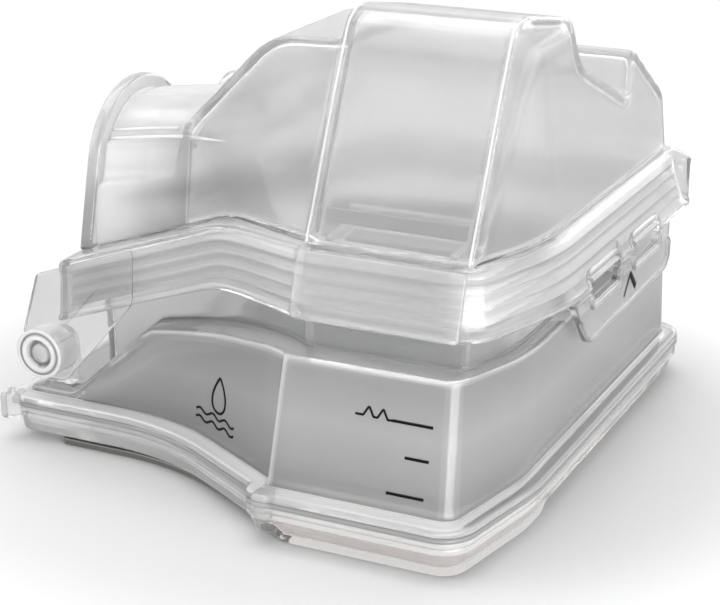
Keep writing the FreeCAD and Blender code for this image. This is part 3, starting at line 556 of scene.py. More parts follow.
def tub_level(height, x):
    """Level of a wall point: flange and edge roundings keep their form, what lies between is stretched so
    that the nominal ledge follows its line and the nominal rim follows its own."""
    knots = [0.0, WALL_FOOT, LEDGE - ROUNDING, LEDGE + ROUNDING, RIM - ROUNDING, RIM + 13.5]
    ledge, rim = ledge_line(x), rim_line(x)
    rows = np.array([np.zeros_like(x), np.full_like(x, WALL_FOOT), ledge - ROUNDING, ledge + ROUNDING,
                     rim - ROUNDING, rim + 13.5])
    k = min(int(np.searchsorted(knots, height, side="right")) - 1, len(knots) - 2)
    share = (height - knots[k]) / (knots[k + 1] - knots[k])
    return rows[k] + (rows[k + 1] - rows[k]) * share


def tub_ring(blend, inward, height):
    """Ring of the tub: on the leaning wall at blend 0, on the neck at 1, between them on the ledge."""
    wall = leaning_ring(around(inset(FOOT, inward)), around(inset(SHOULDER, inward)), FLANGE_SPLIT, LEDGE,
                        lambda x: tub_level(height, x))
    if blend <= 0:
        return wall
    place = wall[:, :2] + (around(inset(NECK, inward)) - wall[:, :2]) * blend
    return np.column_stack((place, tub_level(height, place[:, 0])))


def quarter(centre, radius, start, stop, steps=5):
    """Quarter-circle points in the (blend, height) plane; the blend runs over the ledge's width."""
    a = np.radians(np.linspace(start, stop, steps))
    return [(centre[0] + radius[0] * math.cos(t), centre[1] + radius[1] * math.sin(t)) for t in a]


def tub_wall():
    """Flange, leaning wall, ledge, neck and rounded rim as one section of (blend, inward, height), carried
    round the tub and back inside."""
    outside = [(-3.7, 8.2), (-4.0, 8.5), (-4.0, 8.8), (-4.0, 9.2), (-3.78, 9.35), (-3.78, 9.45), (-4.0, 9.6),
               (-4.0, 10.3), (-3.9, 10.7), (-3.65, 10.93), (-3.3, 11.0), (-3.0, 11.0), (-0.9, 11.0),
               (-0.55, 11.03), (-0.2, 11.16), (-0.03, 11.5)]
    outside += [(0, h) for h in (12.2, 14, 18, 23, 28, 33, 36.4)]
    section = [(0, *point) for point in outside]
    section += [(b, 0, h) for b, h in quarter((0.12, LEDGE - ROUNDING), (0.12, ROUNDING), 180, 90)]
    section += [(b, 0, LEDGE) for b in np.linspace(0.16, 0.84, 8)]
    section += [(b, 0, h) for b, h in quarter((0.88, LEDGE + ROUNDING), (0.12, ROUNDING), 270, 360)]
    section += [(1, 0, h) for h in (39.5, 42, 44.6, 45.7)]
    section += [(1, 0.26, 46.23), (1, 0.9, RIM), (1, 1.54, 46.23), (1, WALL, 45.7)]
    section += [(1, WALL, h) for h in (44.6, 41, 37.0)]
    section += [(b, WALL, 35.84) for b in (0.96, 0.8, 0.6, 0.4, 0.2, 0.06)]
    section += [(0, WALL, h) for h in (35, 28, 20, 12, 8.3)]
    section += [(0, 1.7, FLANGE_SPLIT), (0, -1.0, FLANGE_SPLIT)]
    grid = np.array([tub_ring(*point) for point in section])
    piece = skin("tub_wall", grid, ("base", "clear_shell", SHELL), ["tub_shell"])
    mark(piece.data, "level", np.repeat([height * MM for _, _, height in section], grid.shape[1]))

    def wall(x, y, z):
        under_ledge = abs(z - ledge_line(x) + 2.16) < 0.25
        return (z < ledge_line(x) - 0.2) & ~under_ledge

    def ledge_end(x, y, z):
        return (z > ledge_line(x) - 0.6) & (z < ledge_line(x) + 1) & (x > 53) & (y > -12)

    # the leaning wall takes the wall material with its painted shade
    also(piece, WALL_PLASTIC, wall)
    also(piece, FLANGE, lambda x, y, z: z < WALL_FOOT)
    also(piece, MILKY, lambda x, y, z: (z > 10.6) & (z < WALL_FOOT) & (x < 13))
    also(piece, MILKY, ledge_end)


PLATE_WINDOW = np.array([
    (-51.3, -40.5, 12.3), (-21, -40.55, 1), (13, -40.6, 1), (14, -40.6, 1), (51.3, -40.5, 12.3),
    (51.35, -20, 1), (51.3, 57.3, 12.3), (-51.3, 57.3, 12.3)])
PAN_RUNS = [30, 40, 6, 60, 24, 110, 50, 40]
KEEL_DROP = 1.8


def pan_tray():
    """Lower flange layer, short wall and floor out to the plate's window, as one closed section of (blend,
    inward, level). Round the front right the wall and the outer part of the floor drop to the keel's foot."""
    window = around(PLATE_WINDOW, runs=PAN_RUNS)
    outside = [(3.1, 8.0), (2.9, 8.2), (0.3, 8.2), (0.08, 8.1), (0, 7.9), (0, 7.2), (0.2, 7.05), (0.2, 6.95),
               (0, 6.8), (0, 5.9), (0.1, 5.6), (0.4, 5.5), (0.8, 5.5), (1.02, 5.3), (1.1, 4.8), (1.25, 3.6),
               (1.4, 2.6), (1.65, 2.05), (2.1, 1.83), (2.8, 1.8)]
    section = [(0, *point) for point in outside]
    section += [(blend, 3, 1.8) for blend in (0.3, 0.6, 0.78, 0.86)] + [(1, 0, 1.9), (1, 0, 3.3)]
    section += [(blend, 3.6, 3.4) for blend in (0.86, 0.7, 0.3, 0)] + [(0, 3.2, 3.7), (0, 3.1, 4.4)]
    rings = []
    for blend, inward, level in section:
        edge = around(inset(LAYER, inward), runs=PAN_RUNS)
        x, y = edge[:, 0], edge[:, 1]
        keel = eased(np.clip((x - 15.6) / 3.4, 0, 1) * np.clip((-27.0 - y) / 3.0, 0, 1), 0, 1)
        if blend > 0.8:
            share = 0
        elif level > 3 and inward > 3:
            share = 1
        else:
            share = min(max((5.3 - level) / 3.5, 0), 1)
        place = edge + (window - edge) * blend
        rings.append(np.column_stack((place, level - KEEL_DROP * keel * share)))
    piece = skin("pan_tray", np.array(rings), ("base", "pan_plastic", PAN), ["bottom_pan"])
    also(piece, FLANGE, lambda x, y, z: (z > 5.4) | ((x < 14) & (z > 1.75)))


def plate_dish():
    """Pressed dish: from the middle of its underside out, up its side, round its lip and back inside. Its
    foot is a dark strip under the pan's front left, painted shade for the dark edge of the plate there."""
    section = [(3.0, 0.0), (1.2, 0.0), (0.6, 0.12), (0.2, 0.45), (0.0, 1.0), (0.0, 4.0), (-0.2, 4.2),
               (-0.9, 4.2), (-1.0, 4.4), (-1.0, 4.8), (-0.9, 5.0), (0.5, 5.0), (0.75, 4.85), (0.8, 4.5),
               (0.8, 1.4), (1.0, 1.0), (1.5, 0.8), (3.2, 0.8)]
    rings = []
    for step, level in section:
        line = around(inset(rectangle(-51, 51, -40.2, 57, 12), step), 14, 8)
        rings.append(np.column_stack((line, np.full(len(line), level))))
    skin("plate_dish", np.array(rings), ("base", "plate_metal", METAL), ["heater_plate"], joined=False)
    foot = np.array([(-51.0, -43.2, 3), (-21.0, -43.2, 58), (9.0, -57.8, 2), (9.0, -40.0, 0.6),
                     (-51.0, -40.0, 0.6)])
    # painted shade: the foot is made a dark strip
    plate("plate_foot", foot, 0.1, 1.7, 0.4, "level", ("base", "plate_metal", PAINTED_SHADE_METAL), arc=12, runs=20)


def hinge_ears():
    """Ear, pin and the groove in the pin's head, holding a dark ring of painted shade, at each end of the
    hinge; way points outward.
    """
    corners = rectangle(HINGE_X - 4.0, HINGE_X + 4.0, 12.9, 26.6, 0.6)
    corners[2:, 2] = 3.8
    section = [(0.4, -6.1), (3.2, -6.1), (3.2, -1.7), (3.1, -1.3), (2.8, -1.15), (2.5, -1.1), (2.36, -0.9),
               (2.32, -0.3), (2.2, 0.05), (1.9, 0.25), (1.2, 0.36), (0.4, 0.4)]
    for label, inner, way in (("front", -37.9, -1), ("rear", 60.9, 1)):
        plate("ear_" + label, corners, inner, inner - way * 3.2, 0.5, "front", ("base", "clear_shell", SHELL),
              ["hinge_ear_" + label])
        end = inner + way * 6.3
        profile = [(radius, end + way * along) for radius, along in section]
        lathe("pin_" + label, profile, HINGE, "y", trim(FLANGE, "base"), joined=False)
        # painted shade: a dark ring in the groove of the pin's head
        groove = tube_profile(2.45, 3.15, end - way * 1.0, end - way * 0.7, 0.1)
        lathe("pin_groove_shade_" + label, groove, HINGE, "y", trim(SMOKE, "base"))


def small_base_pieces():
    """Lugs on the flange and catches on the ledge, one catch behind each window."""
    for label, x, y, length, depth in (("left", -65.8, -46.2, 5.0, 5.2), ("ridge", 12.7, -68.5, 4.0, 4.6)):
        plate("lug_" + label, rectangle(x, x + length, y, y + depth, 1.0), 5.1, 11.4, 0.7, "level",
              trim(PORT, "base"), ["flange_lug_" + label])
    corners = np.array([(57.3, 38.1, 0.4), (59.5, 38.1, 0.3), (59.5, 41.1, 0.3), (61.0, 41.7, 0.4),
                        (61.0, 42.9, 0.5), (57.3, 44.1, 0.6)])
    for label, window in WINDOWS:
        start = window + 2.2
        plate("catch_nose_" + label, corners, start, start + 13.6, 0.35, "front",
              ("base", "clear_shell", MILKY), ["catch_" + label])


# ---- lid ----

SKIRT_RUNS = [30, 30, 6, 30, 20, 150, 60, 30]
SKIRT_FOOT = 20.5
SKIRT_HEAD = RIM + 12.0
BAND_LOW = band_plan(-7.2)
BAND_HIGH = band_plan(4.2)


def band_ring(inward, height, runs=30):
    """Ring of the leaning skirt at a height over the rim line."""
    low, high = (around(inset(corners, inward), runs=runs) for corners in (BAND_LOW, BAND_HIGH))
    return leaning_ring(low, high, SKIRT_FOOT, SKIRT_HEAD, lambda x: rim_line(x) + height)


def skirt():
    """Skirt with a rolled lip along both edges and the ledge that carries the dome, as one section of (blend
    to the dome's foot, inward, height); the lower edge steps up over the two latch windows."""
    outside = [(0.6, -2.0), (0.1, -1.93), (-0.25, -1.6), (-0.35, -1.1), (-0.25, -0.6), (-0.04, -0.2)]
    outside += [(0, height) for height in (0.4, 0.95, 1.4, 2.4, 4, 6, 8.4)]
    outside += [(-0.05, 9.1), (-0.3, 9.6), (-0.42, 10.3), (-0.4, 10.9), (-0.12, 11.55), (0.35, 11.9),
                (1.0, 12.0), (1.5, 12.0)]
    ledge = [(0.3, 1.5, 12.0), (0.6, 1.5, 12.0), (0.95, 1.7, 12.0), (1, 1.8, 11.8), (1, 1.8, 10.6),
             (0.95, 2.2, 10.4), (0.6, 2.4, 10.4), (0.3, 2.4, 10.4)]
    inside = [(2.4, 10.4), (1.95, 10.1)] + [(WALL, height) for height in (9.6, 5, 1.3, 0.9, 0.3, -1.5)]
    section = [(0, *point) for point in outside] + ledge + [(0, *point) for point in inside + [(1.5, -1.9)]]
    foot = around(inset(DOME_FOOT, WALL), runs=SKIRT_RUNS)
    rings = []
    for blend, inward, height in section:
        ring = band_ring(inward, height, SKIRT_RUNS)
        if blend:
            place = ring[:, :2] + (foot - ring[:, :2]) * blend
            ring = np.column_stack((place, rim_line(place[:, 0]) + height))
        x, y = ring[:, 0], ring[:, 1]
        window = (x > 55) & np.any([(y > low) & (y < low + WINDOW_WIDTH) for _, low in WINDOWS], 0)
        ring[:, 2] += np.where(window, 0.62 * max(0.9 - height, 0.0), 0.0)
        outer = blend == 0 and inward < 1.6
        rings.append(squared(ring, height) if outer else ring)
    piece = skin("skirt", np.array(rings), trim(BAND), ["rim_band"])
    also(piece, FLANGE, lambda x, y, z: x < -48.6)


def squared(ring, height):
    """Ring of the skirt's outside with its rear right corner upright: the lean is undone there, by
    push = min(lean, 3.45 - 1.06 * (height - 9.5)), faded in over a few millimetres along both sides."""
    lean = 0.3 * (height + 2)
    push = max(0.0, min(lean, 3.45 - 1.06 * (height - 9.5)))
    x, y = ring[:, 0].copy(), ring[:, 1].copy()
    ring[:, 0] = x + push * eased(y, 56.5, 4.0) * np.clip((x - 50.0) / 8.0, 0, 1)
    ring[:, 1] = y + push / 3 * eased(x, 53.0, 5.0) * np.clip((y - 50.0) / 8.0, 0, 1)
    return ring


SEAL_START = 0.35
SEAL_RIBS = 3.5
SEAL_HEIGHT = 10.0


def ribbed_seal():
    """Soft seal: four rounded ribs outside, a plain inner face over the neck's mouth. Round the front right
    corner the crests of the ribs take a pale material, a painted highlight where light glints on them."""
    share = np.linspace(0, 1, 57)
    ripple = 0.5 - 0.5 * np.cos(TURN * SEAL_RIBS * share)
    neck = around(inset(NECK, WALL))
    rings = []
    for inward, height in zip(2.15 + 1.15 * ripple ** 0.7, SEAL_START + SEAL_HEIGHT * share):
        ribbed, plain = band_ring(inward, height), band_ring(2.3, height)
        rings.append(plain + (ribbed - plain) * eased(ribbed[:, :1], -48.5, 5.0))
    for height in (10.3, 8.0, 5.0, 2.0, 0.45):
        near = band_ring(4.9, height)[:, 1]
        y = np.where(near < 0, np.maximum(neck[:, 1], near), neck[:, 1])
        rings.append(np.column_stack((neck[:, 0], y, rim_line(neck[:, 0]) + height)))
    piece = skin("ribbed_seal", np.array(rings), ("lid", "seal_silicone", SEAL), ["mid_seal"])

    # painted highlight: picks the rib crests round the front right corner
    def lit(x, y, z):
        crest = -np.cos(TURN * SEAL_RIBS / SEAL_HEIGHT * (z - rim_line(x) - SEAL_START))
        return (x > 48 - 6 * crest) & (y < -33 + 9 * crest)

    also(piece, SEAL_HIGHLIGHT, lit)


def dome_shell():
    """Dome, grip and port decks as one moulding with soft edges: their merged solids are laid into a fine
    voxel skin, which is then relaxed so that every edge gets a small round. Each overlaps its neighbour by a
    little: place = centre + (place - centre) * growth + shift."""
    gathered = bmesh.new()
    centre = np.array([0.0326, -0.0454, 0])
    for label, growth, shift in (
            ("lid_dome", (1, 1, 1), 0.0), ("port_deck_front", (1, 1, 1), 0.0004),
            ("port_deck_rear", (1, 1, 1), 0.0004), ("grip_cover", (1.021, 1.0074, 1), 0.0)):
        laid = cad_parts[label].data.copy()
        place = centre + (read(laid.vertices, "co") - centre) * growth + [shift, 0, 0]
        laid.vertices.foreach_set("co", place.ravel())
        gathered.from_mesh(laid)
        bpy.data.meshes.remove(laid)
    bmesh.ops.remove_doubles(gathered, verts=gathered.verts, dist=1e-6)
    mesh = bpy.data.meshes.new("dome_shell")
    gathered.to_mesh(mesh)
    gathered.free()
    rough = placed("dome_rough", mesh)
    voxels = rough.modifiers.new("voxels", "REMESH")
    voxels.mode = "VOXEL"
    voxels.voxel_size = 0.62 * MM
    voxels.use_smooth_shade = True
    relax = rough.modifiers.new("relax", "SMOOTH")
    relax.factor = 0.5
    relax.iterations = 12
    ready = rough.evaluated_get(bpy.context.evaluated_depsgraph_get())
    finished = bpy.data.meshes.new_from_object(ready)
    bpy.data.objects.remove(rough)
    piece = placed("dome_shell", finished)
    finished.materials.clear()
    finished.materials.append(DOME)
    finished.shade_smooth()
    mark_edges(finished)
    shade_dome(finished)
    also(piece, DECK, on_deck)
    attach(piece, "lid")
    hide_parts("lid_dome", "port_deck_front", "port_deck_rear", "grip_cover")


def on_deck(x, y, z):
    return (x < -21.5) & (z < 70.2 + (x + 46) * 0.173) & (y < ARCH_Y)


def shade_dome(mesh):
    """Tones of the dome. "shade" is painted shade in two soft bands across its front left, each depth *
    exp(-((z - middle) / width) ^ 2), faded out toward the grip; on the front deck "level" runs from 50 mm to
    95 mm from left to right, so that the deck's milky colour fades into the dome's, and its edges stay
    unmarked."""
    x, y, z = read(mesh.vertices, "co").T / MM
    right = np.clip((x + 42) / 50, 0, 1)
    middle, width = 57.5 + 12.0 * right, 1.0 + 5.0 * right
    low = 0.31 * np.exp(-((z - middle) / width) ** 2) * np.clip((x + 42) / 18, 0, 1)
    high = 0.05 * np.exp(-((z - 85) / 5) ** 2)
    front = np.clip((-20 - y) / 4, 0, 1) * np.clip((14.5 - x) / 1.0, 0, 1)
    mark(mesh, "shade", (low + high) * front)
    level = np.where(on_deck(x, y, z), 50 + 45 * np.clip((x + 43) / 21.5, 0, 1), z)
    mark(mesh, "level", level * MM)
    soft = on_deck(x - 2.5, y, z) & (x > -45)
    for label in ("edge", "crease"):
        mark(mesh, label, np.where(soft, 0, read(mesh.attributes[label].data, "value", 1)))


def grip_edges():
    """Painted highlight along each side of the grip, up its front and over its top: a bright rod whose ring,
    an ellipse of half width 0.30 and half height 0.4, is carried along the path, 0.45 under the grip's
    nominal face."""
    path = bent([(-45.2, 59.2, 0), (-42.0, 65.8, 30), (-31.2, 89.0, 30), (-23.6, 104.0, 7),
                 (-15.0, 104.2, 14), (8.9, 99.6, 3), (8.9, 96.0, 0)], 14, 10)
    along = tangents(path)
    inward = np.column_stack((along[:, 1], -along[:, 0]))
    a = np.linspace(0, TURN, 14, endpoint=False)
    depth = 0.45 + 0.4 * np.sin(a)
    for label, x in (("left", 14.35), ("right", 50.85)):
        across = np.broadcast_to(x + 0.30 * np.cos(a), (len(path), len(a)))
        y, z = (path[:, k, None] + depth * inward[:, k, None] for k in (0, 1))
        skin("grip_highlight_" + label, np.stack((across, y, z), -1), trim(HIGHLIGHT_ROD), joined=False)


def shelf_edges():
    """Bright rods along the near edge of the shelf beside the clear roof, and at the foot of the roof,
    painted highlights of those edges.
    """
    near = [(-45.6, -24.7, 69.4), (-34.0, -25.9, 71.4), (-25.8, -27.0, 72.7), (-21.4, -29.4, 73.6),
            (-17.7, -30.2, 74.0), (-12.0, -30.9, 74.2)]
    far = [(-45.6, -23.4, 71.2), (-35.8, -23.7, 72.8), (-27.5, -24.6, 74.0)]
    for label, knots, radii in (("near", near, [0.5, 0.55, 0.55, 0.5, 0.05]), ("far", far, [0.3, 0.35, 0.3])):
        rows = np.array(knots)
        reach = np.concatenate(([0], np.cumsum(np.linalg.norm(np.diff(rows, axis=0), axis=1))))
        steps = np.linspace(0, reach[-1], 40)
        line = np.stack([np.interp(steps, reach, rows[:, k]) for k in range(3)], 1)
        for _ in range(6):
            line[1:-1] = (line[:-2] + 2 * line[1:-1] + line[2:]) / 4
        rod("shelf_highlight_" + label, line, radii, trim(HIGHLIGHT_ROD))


def label_plate():
    """Bare plate on the front of the skirt, leaning with it, and the small stop at its lower left corner."""
    def lean(grid):
        grid[..., 1] += 0.3 * (grid[..., 2] - 44.5)
        return grid

    plate("label_plate", rectangle(13.6, 51.6, 44.6, 58.4, 1.2), -52.3, -51.0, 0.5, "front",
          ("lid", "label_panel", LABEL), ["label_panel"], bend=lean)
    profile = [(0.2, -52.9), (0.9, -52.85), (1.25, -52.6), (1.35, -52.2), (1.35, -51.4), (0.2, -51.4)]
    lathe("label_stop", profile, (15.4, 46.3), "y", trim(TRIM), joined=False, count=24)


CHEEK_BORE = 3.35


def cheeks():
    """Cheek plates: thick round the hinge, thinning into the face of the skirt. Boss, raised ring and a
    groove stand round each bore; the groove holds a dark ring, painted shade. The rear boss stands less
    proud; way points outward."""
    corners = np.array([(-60.8, 16.4, 6), (-48.2, 16.4, 5.6), (-30.3, 37.6, 3), (-30.3, 50.1, 0.8),
                        (-54.6, 41.6, 1.0), (-58.8, 28.0, 6)])
    section = [(CHEEK_BORE, 0.2), (3.5, 0.5), (3.9, 0.62), (4.3, 0.5), (4.5, 0.2), (4.62, 0.1), (5.1, 0.1),
               (5.2, 0.2), (5.5, 0.42), (5.8, 0.35), (6.0, 0.0), (6.0, -3.0), (6.0, -5.9), (5.6, -6.4),
               (3.8, -6.4), (CHEEK_BORE, -6.0), (CHEEK_BORE, -3.0)]
    for label, outer, way, proud in (("front", -44.6, -1, 1.0), ("rear", 67.6, 1, 0.6)):
        def thin(grid, outer=outer, way=way):
            x, y, z = grid[..., 0], grid[..., 1], grid[..., 2]
            depth = (outer - y) * way
            lean = -7.2 + 11.4 * (z - SKIRT_FOOT) / 38.0
            face = lean / 4 - 42.0 if way < 0 else 65.0 - lean / 3
            share = eased(x, -51.0, 9.0)
            grid[..., 1] = (1 - share) * y + share * (face + way * (0.5 - 0.35 * depth))
            return grid

        pierced("cheek_" + label, lambda step: around(inset(corners, step), 10, 24), HINGE, CHEEK_BORE,
                outer, outer - way * 2.2, 0.5, "front", trim(TRIM),
                ["hinge_cheek_" + label], thin)
        profile = [(radius, outer + way * along * (proud if along > 0 else 1)) for radius, along in section]
        lathe("boss_" + label, profile, HINGE, "y", trim(MILKY))
        # painted shade: a dark ring in the boss's groove
        groove = tube_profile(4.65, 5.1, outer + way * 0.02, outer + way * 0.2, 0.08)
        lathe("boss_groove_shade_" + label, groove, HINGE, "y", trim(SMOKE))


def arch_line(centre, radius, half_foot, drop, base, arc=36, run=8):
    """Round top whose legs run on as tangents toward a wider foot at a depth of drop; the line is cut off
    level at base. Points run anticlockwise from the left end of the foot."""
    reach = math.hypot(half_foot, drop)
    angle = math.acos(min(1.0, radius / reach)) - math.atan2(drop, half_foot)
    side = np.array([radius * math.cos(angle), radius * math.sin(angle)])
    foot = np.array([half_foot, -drop])
    foot = side + (foot - side) * (base - centre[1] - side[1]) / (foot[1] - side[1])
    a = np.linspace(angle, math.pi - angle, arc)
    top = np.column_stack((radius * np.cos(a), radius * np.sin(a)))
    share = np.linspace(0, 1, run + 1)[:-1, None]
    left, left_side = foot * [-1, 1], side * [-1, 1]
    points = np.concatenate((left + (foot - left) * share, foot + (side - foot) * share, top,
                             (left_side + (left - left_side) * share)[1:]))
    return points + centre


def ports():
    """Inlet flange, clear roof and collar, and the outlet flange."""
    def inlet_line(step):
        return arch_line(np.array([ARCH_Y, ARCH_Z]), 20.5 - step, 25.6 - step, 18.0, 45.4 + step)

    def outlet_line(step):
        return arch_line(np.array(OUTLET), 10.4 - step, 10.41 - step, 25.0, 45.4 + step)

    pierced("inlet_rim", inlet_line, INLET, INLET_BORE, PORT_FACE, FLANGE_INNER, 0.9, "side",
            trim(PORT), ["inlet_flange"])
    pierced("outlet_rim", outlet_line, OUTLET, OUTLET_BORE, PORT_FACE, FLANGE_INNER, 0.8, "side",
            trim(PORT), ["outlet_flange"])
    lathe("inlet_pipe", tube_profile(INLET_BORE - 1.6, INLET_BORE, PORT_FACE, -37.4), INLET, "x",
          trim(MILKY), ["inlet_collar"], count=72)
    x = np.linspace(FLANGE_INNER - 0.3, -22.6, 26)[:, None]
    shelf = np.interp(x, [-46, -20], [69.5, 74.0])
    radius = 17.5 + 2.8 * (x - FLANGE_INNER) / 23.0
    low = np.arcsin((shelf - 2.5 - ARCH_Z) / radius)
    sweep = low + (math.pi - 2 * low) * np.linspace(0, 1, 40)
    sweep = np.concatenate((sweep, sweep[:, ::-1]), 1)
    radius = radius - np.repeat([0, WALL], 40)
    y, z = ARCH_Y + radius * np.cos(sweep), ARCH_Z + radius * np.sin(sweep)
    grid = np.stack((np.broadcast_to(x, y.shape), y, z), -1)
    skin("inlet_canopy", grid, trim(FLANGE), ["inlet_roof"], joined=False)


def baffle():
    """Cross rib inside the front of the dome, on two webs, and a dark strip along the inside of the front,
    painted shade where the rib shows darkly through the front wall.
    """
    def lean(grid):
        grid[..., 1] += 0.17 * (grid[..., 2] - 63.5)
        return grid

    plate("baffle_rib", rectangle(17.2, 47.2, -30.0, -28.2, 0.5), 56.9, 62.9, 0.4, "level",
          ("lid", "frosted_dome", LABEL), ["splash_baffle"])
    # painted shade: a dark strip standing for the baffle seen darkly through the front
    plate("baffle_shade_strip", rectangle(16.6, 48.6, 62.4, 65.4, 0.4), -39.8, -39.2, 0.2, "front",
          ("lid", "frosted_dome", BAFFLE_SHADE), ["splash_baffle"], bend=lean)
    for label, x in (("left", 17.2), ("right", 45.4)):
        plate("baffle_web_" + label, rectangle(x, x + 1.8, -41.5, -29.8, 0.4), 56.9, 59.4, 0.3, "level",
              ("lid", "frosted_dome", LABEL))


# ---- latch ----


def latch():
    """Latch plate, notched under the windows, and the bead along its edge."""
    corners = [(-10.0, 33.0, 1.5), (44.3, 33.0, 3), (47.3, 35.6, 1.5), (47.9, 44.2, 0.4)]
    for _, low in WINDOWS[::-1]:
        high = low + WINDOW_WIDTH
        corners += [(high, 44.2, 0.4), (high, 41.6, 0.8), (low, 41.6, 0.8), (low, 44.2, 0.4)]
    corners += [(-20.0, 44.2, 0.4), (-11.5, 34.2, 1.5)]
    plate("latch_leaf", corners, LATCH_FACE - WALL, LATCH_FACE, 0.35, "side", trim(TRIM, "latch"),
          ["latch_plate"])
    line = bent([(-17.2, 40.6, 0), (-11.2, 34.7, 1.5), (-9.8, 33.7, 1.5), (44.0, 33.7, 3), (46.6, 36.0, 1.5),
                 (46.9, 40.6, 0)], 8, 12)
    bead("latch_edge", LATCH_FACE, line, 1.3, 0.72, trim(TRIM, "latch"), ["latch_bead"])


def window_frames():
    """Rounded beads round the windows: upper halves on the leaning skirt, lower halves on the latch plate.
    The skirt's face is x = 64.8 + 0.8 (y + 20) / 85 - 0.3 (z - 44.5). A rib stands behind the first one."""
    for label, start in WINDOWS:
        left, right = start - 0.9, start + WINDOW_WIDTH + 0.9
        low = bent([(left, 43.9, 0), (left, 40.7, 1.6), (right, 40.7, 1.6), (right, 43.9, 0)], 7, 8)
        bead("window_foot_" + label, LATCH_FACE - 0.1, low, 1.4, 0.7, trim(TRIM, "latch"))
        high = bent([(left, 44.8, 0), (left, 48.2, 1.6), (right, 48.2, 1.6), (right, 44.8, 0)], 7, 8)
        face = 64.7 + 0.8 * (high[:, 0] + 20) / 85 - 0.3 * (high[:, 1] - 44.5)
        bead("window_head_" + label, face, high, 1.4, 0.7, trim(TRIM))
    rib = np.column_stack((np.full(14, 11.3), np.linspace(44.8, 49.9, 14)))
    face = 64.95 + 0.8 * 30.9 / 85 - 0.3 * (rib[:, 1] - 44.5)
    bead("window_rib", face, rib, 1.5, 0.45, trim(SMOKE))


# ---- printed marks ----


def front_surface():
    """Front of the wall: y at each place x and level z."""
    low, high = around(FOOT), around(SHOULDER)

    def depth_at(x, z):
        place = low + (high - low) * (z - FLANGE_SPLIT) / (LEDGE - FLANGE_SPLIT)
        front = place[(place[:, 1] < -30) & (place[:, 0] < 56)]
        front = front[np.argsort(front[:, 0])]
        return np.interp(x, front[:, 0], front[:, 1])

    return np.vectorize(depth_at)


def stroke(name, line, width, place, body="base"):
    """Printed stroke: a thin rectangular section carried along a flat line (u, v); place(u, v, lift) lays it
    on its surface, lift millimetres proud."""
    along = tangents(line)
    half = np.column_stack((-along[:, 1], along[:, 0])) * np.broadcast_to(width, len(line))[:, None] / 2
    corners = ((-1, 0.02), (1, 0.02), (1, 0.07), (-1, 0.07))
    rings = [place(*(line + way * half).T, lift) for way, lift in corners]
    skin(name, np.stack(rings, 1), (body, None, INK), joined=False)


def marks():
    """Fill lines and ripple on the front panel, a plain drop on the set-back wall, an arrow on the latch."""
    depth = front_surface()

    def on_front(u, v, lift):
        return np.stack((u, depth(u, v) - lift, v), -1)

    def on_latch(u, v, lift):
        return np.stack((np.full_like(u, LATCH_FACE + lift), u, v), -1)

    for label, left, middle, right, level in (
            ("top", 39.9, 44.0, 48.9, 28.6), ("middle", 43.6, 46.0, 48.9, 21.9),
            ("low", 40.5, 45.0, 48.8, 14.5)):
        line = bent([(left, level, 0), (middle, level, 0), (right, level, 0)], 3, 8)
        stroke("fill_line_" + label, line, 0.58, on_front)
    ripple = bent([(31.6, 28.7, 0), (33.4, 28.7, 0.2), (34.5, 30.6, 0.2), (35.7, 28.6, 0.2),
                   (36.6, 28.6, 0.2), (37.7, 30.5, 0.2), (38.9, 28.5, 0.2), (40.2, 28.6, 0)], 5, 5)
    stroke("fill_ripple", ripple, 0.46, on_front)
    a = np.linspace(0.12, TURN - 0.12, 61)
    drop = np.column_stack((-6.4 - 2.9 * np.sin(a) * np.sin(a / 2), 21.6 + 3.9 * np.cos(a)))
    stroke("drop_outline", drop, 0.56, on_front)
    share = np.linspace(0, 1, 61)
    for label, level in (("upper", 16.6), ("lower", 14.8)):
        wave = np.column_stack((-13.6 + 13.0 * share, level + 0.45 * np.sin(3 * TURN * share)))
        stroke("drop_waves_" + label, wave, 0.50, on_front)
    arrow = bent([(13.4, 36.0, 0), (17.4, 40.4, 0.3), (21.9, 35.9, 0)], 5, 10)
    thick = np.interp(np.linspace(0, 1, len(arrow)), [0, 0.45, 0.55, 1], [0.65, 0.85, 1.4, 1.6])
    stroke("latch_arrow", arrow, thick, on_latch, "latch")


for build in (tub_wall, pan_tray, plate_dish, hinge_ears, small_base_pieces, skirt, ribbed_seal, dome_shell,
              grip_edges, shelf_edges, label_plate, cheeks, ports, baffle, latch, window_frames, marks):
    build()

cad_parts["plate_gasket"].data.materials.clear()
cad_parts["plate_gasket"].data.materials.append(SEAL)


# ---- camera, floor and light ----


WHITE = (1, 1, 1, 1)


def seen_through(tree, *further):
    """1 for rays that reach a surface by reflection, through the clear pieces or in a further way, else 0."""
    path = add(tree, "LightPath").outputs
    found = path["Is Transmission Ray"]
    for label in ("Is Glossy Ray", *further):
        found = combined(tree, "MAXIMUM", path[label], found)
    return found


def grey(value):
    return (value, value, value, 1)


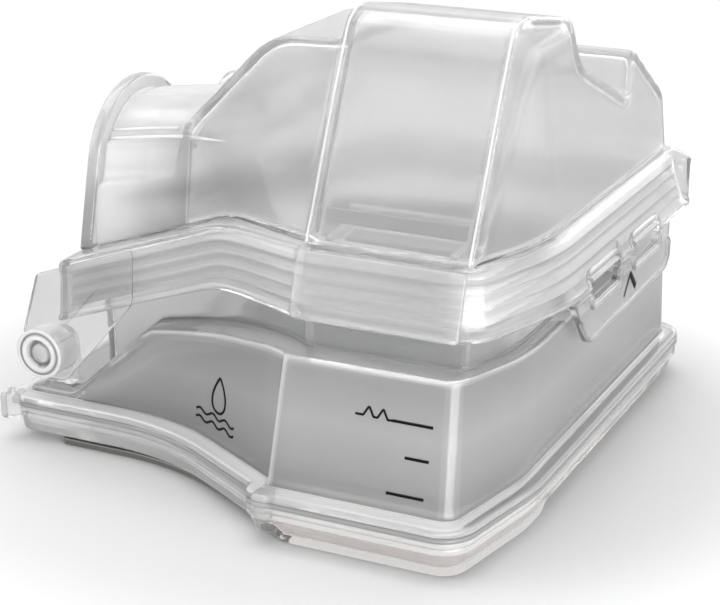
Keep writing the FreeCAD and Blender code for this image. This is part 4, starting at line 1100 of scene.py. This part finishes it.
def pale_floor():
    """Floor: a little deeper near the object, a painted shadow round it, and plain white far off, with an
    even glow for what the clear pieces show of it."""
    made = bpy.data.materials.new("pale_floor")
    made.use_nodes = True
    tree = made.node_tree
    shader = tree.nodes["Principled BSDF"]
    place = add(tree, "TexCoord").outputs["Object"]
    reach = add(tree, "VectorMath", {0: place}, operation="LENGTH").outputs["Value"]
    # painted shadow: the floor's colour is 0.71 near the object, rising to 0.84 from 0.085 m to 0.125 m away
    feed(tree, shader, {"Base Color": ranged(tree, reach, 0.085, 0.125, 0.71, 0.84, "SMOOTHSTEP"),
                        "Roughness": 0.6, "Specular IOR Level": 0.2})
    glow = add(tree, "Emission", {"Color": grey(0.66)}).outputs[0]
    near = add(tree, "MixShader", {"Fac": seen_through(tree), 1: shader.outputs[0], 2: glow}).outputs[0]
    backdrop = add(tree, "Emission", {"Color": WHITE}).outputs[0]
    camera = add(tree, "LightPath").outputs["Is Camera Ray"]
    far = combined(tree, "MULTIPLY", ranged(tree, reach, 0.25, 0.55, kind="SMOOTHSTEP"), camera)
    fade = add(tree, "MixShader", {"Fac": far, 1: near, 2: backdrop}).outputs[0]
    feed(tree, tree.nodes["Material Output"], {"Surface": fade})
    mesh = bpy.data.meshes.new("floor")
    mesh.from_pydata([(-3, -3, 0), (3, -3, 0), (3, 3, 0), (-3, 3, 0)], [], [(0, 1, 2, 3)])
    floor = placed("floor", mesh)
    mesh.materials.append(made)


def surroundings():
    """White surroundings, dimmer for what they light."""
    world = bpy.data.worlds.new("studio")
    bpy.context.scene.world = world
    world.use_nodes = True
    tree = world.node_tree
    tree.nodes.clear()
    dim = add(tree, "Background", {"Color": grey(0.50)}).outputs[0]
    white = add(tree, "Background", {"Color": WHITE}).outputs[0]
    mix = add(tree, "MixShader", {"Fac": seen_through(tree, "Is Camera Ray"), 1: dim, 2: white})
    add(tree, "OutputWorld", {"Surface": mix.outputs[0]})


def lamps():
    """Soft rectangular lamps: place and aim in metres, two sides and power."""
    for name, place, aim, size_x, size_y, power in (
            ("top", (-0.15, 0.10, 0.85), (0, 0, 0.0), 0.9, 0.9, 5.6),
            ("left", (-0.75, -0.45, 0.40), (0, 0, 0.05), 0.5, 0.5, 1.7),
            ("corner", (0.87, -0.68, 0.26), (0.05, -0.05, 0.05), 1.10, 0.45, 9.8),
            ("rear", (0.25, 0.85, 0.35), (0, 0, 0.06), 0.9, 0.3, 1.6)):
        lamp = bpy.data.lights.new(name, "AREA")
        lamp.shape = "RECTANGLE"
        lamp.size, lamp.size_y = size_x, size_y
        lamp.energy = power
        item = placed(name, lamp)
        item.location = place
        way = np.array(aim) - np.array(place)
        yaw = math.atan2(way[1], way[0]) - math.pi / 2
        pitch = math.atan2(math.hypot(way[0], way[1]), -way[2])
        item.rotation_euler = (pitch, 0, yaw)


def set_camera():
    lens = bpy.data.cameras.new("camera")
    lens.sensor_width = 36.0
    lens.lens = 95.0
    lens.clip_start = 0.05
    item = placed("camera", lens)
    item.location = (0.1857, -0.3782, 0.1822)
    item.rotation_euler = (math.radians(70.0), 0, math.radians(25.5))
    bpy.context.scene.camera = item


pale_floor()
surroundings()
lamps()
set_camera()
bpy.context.scene.view_settings.view_transform = "Standard"
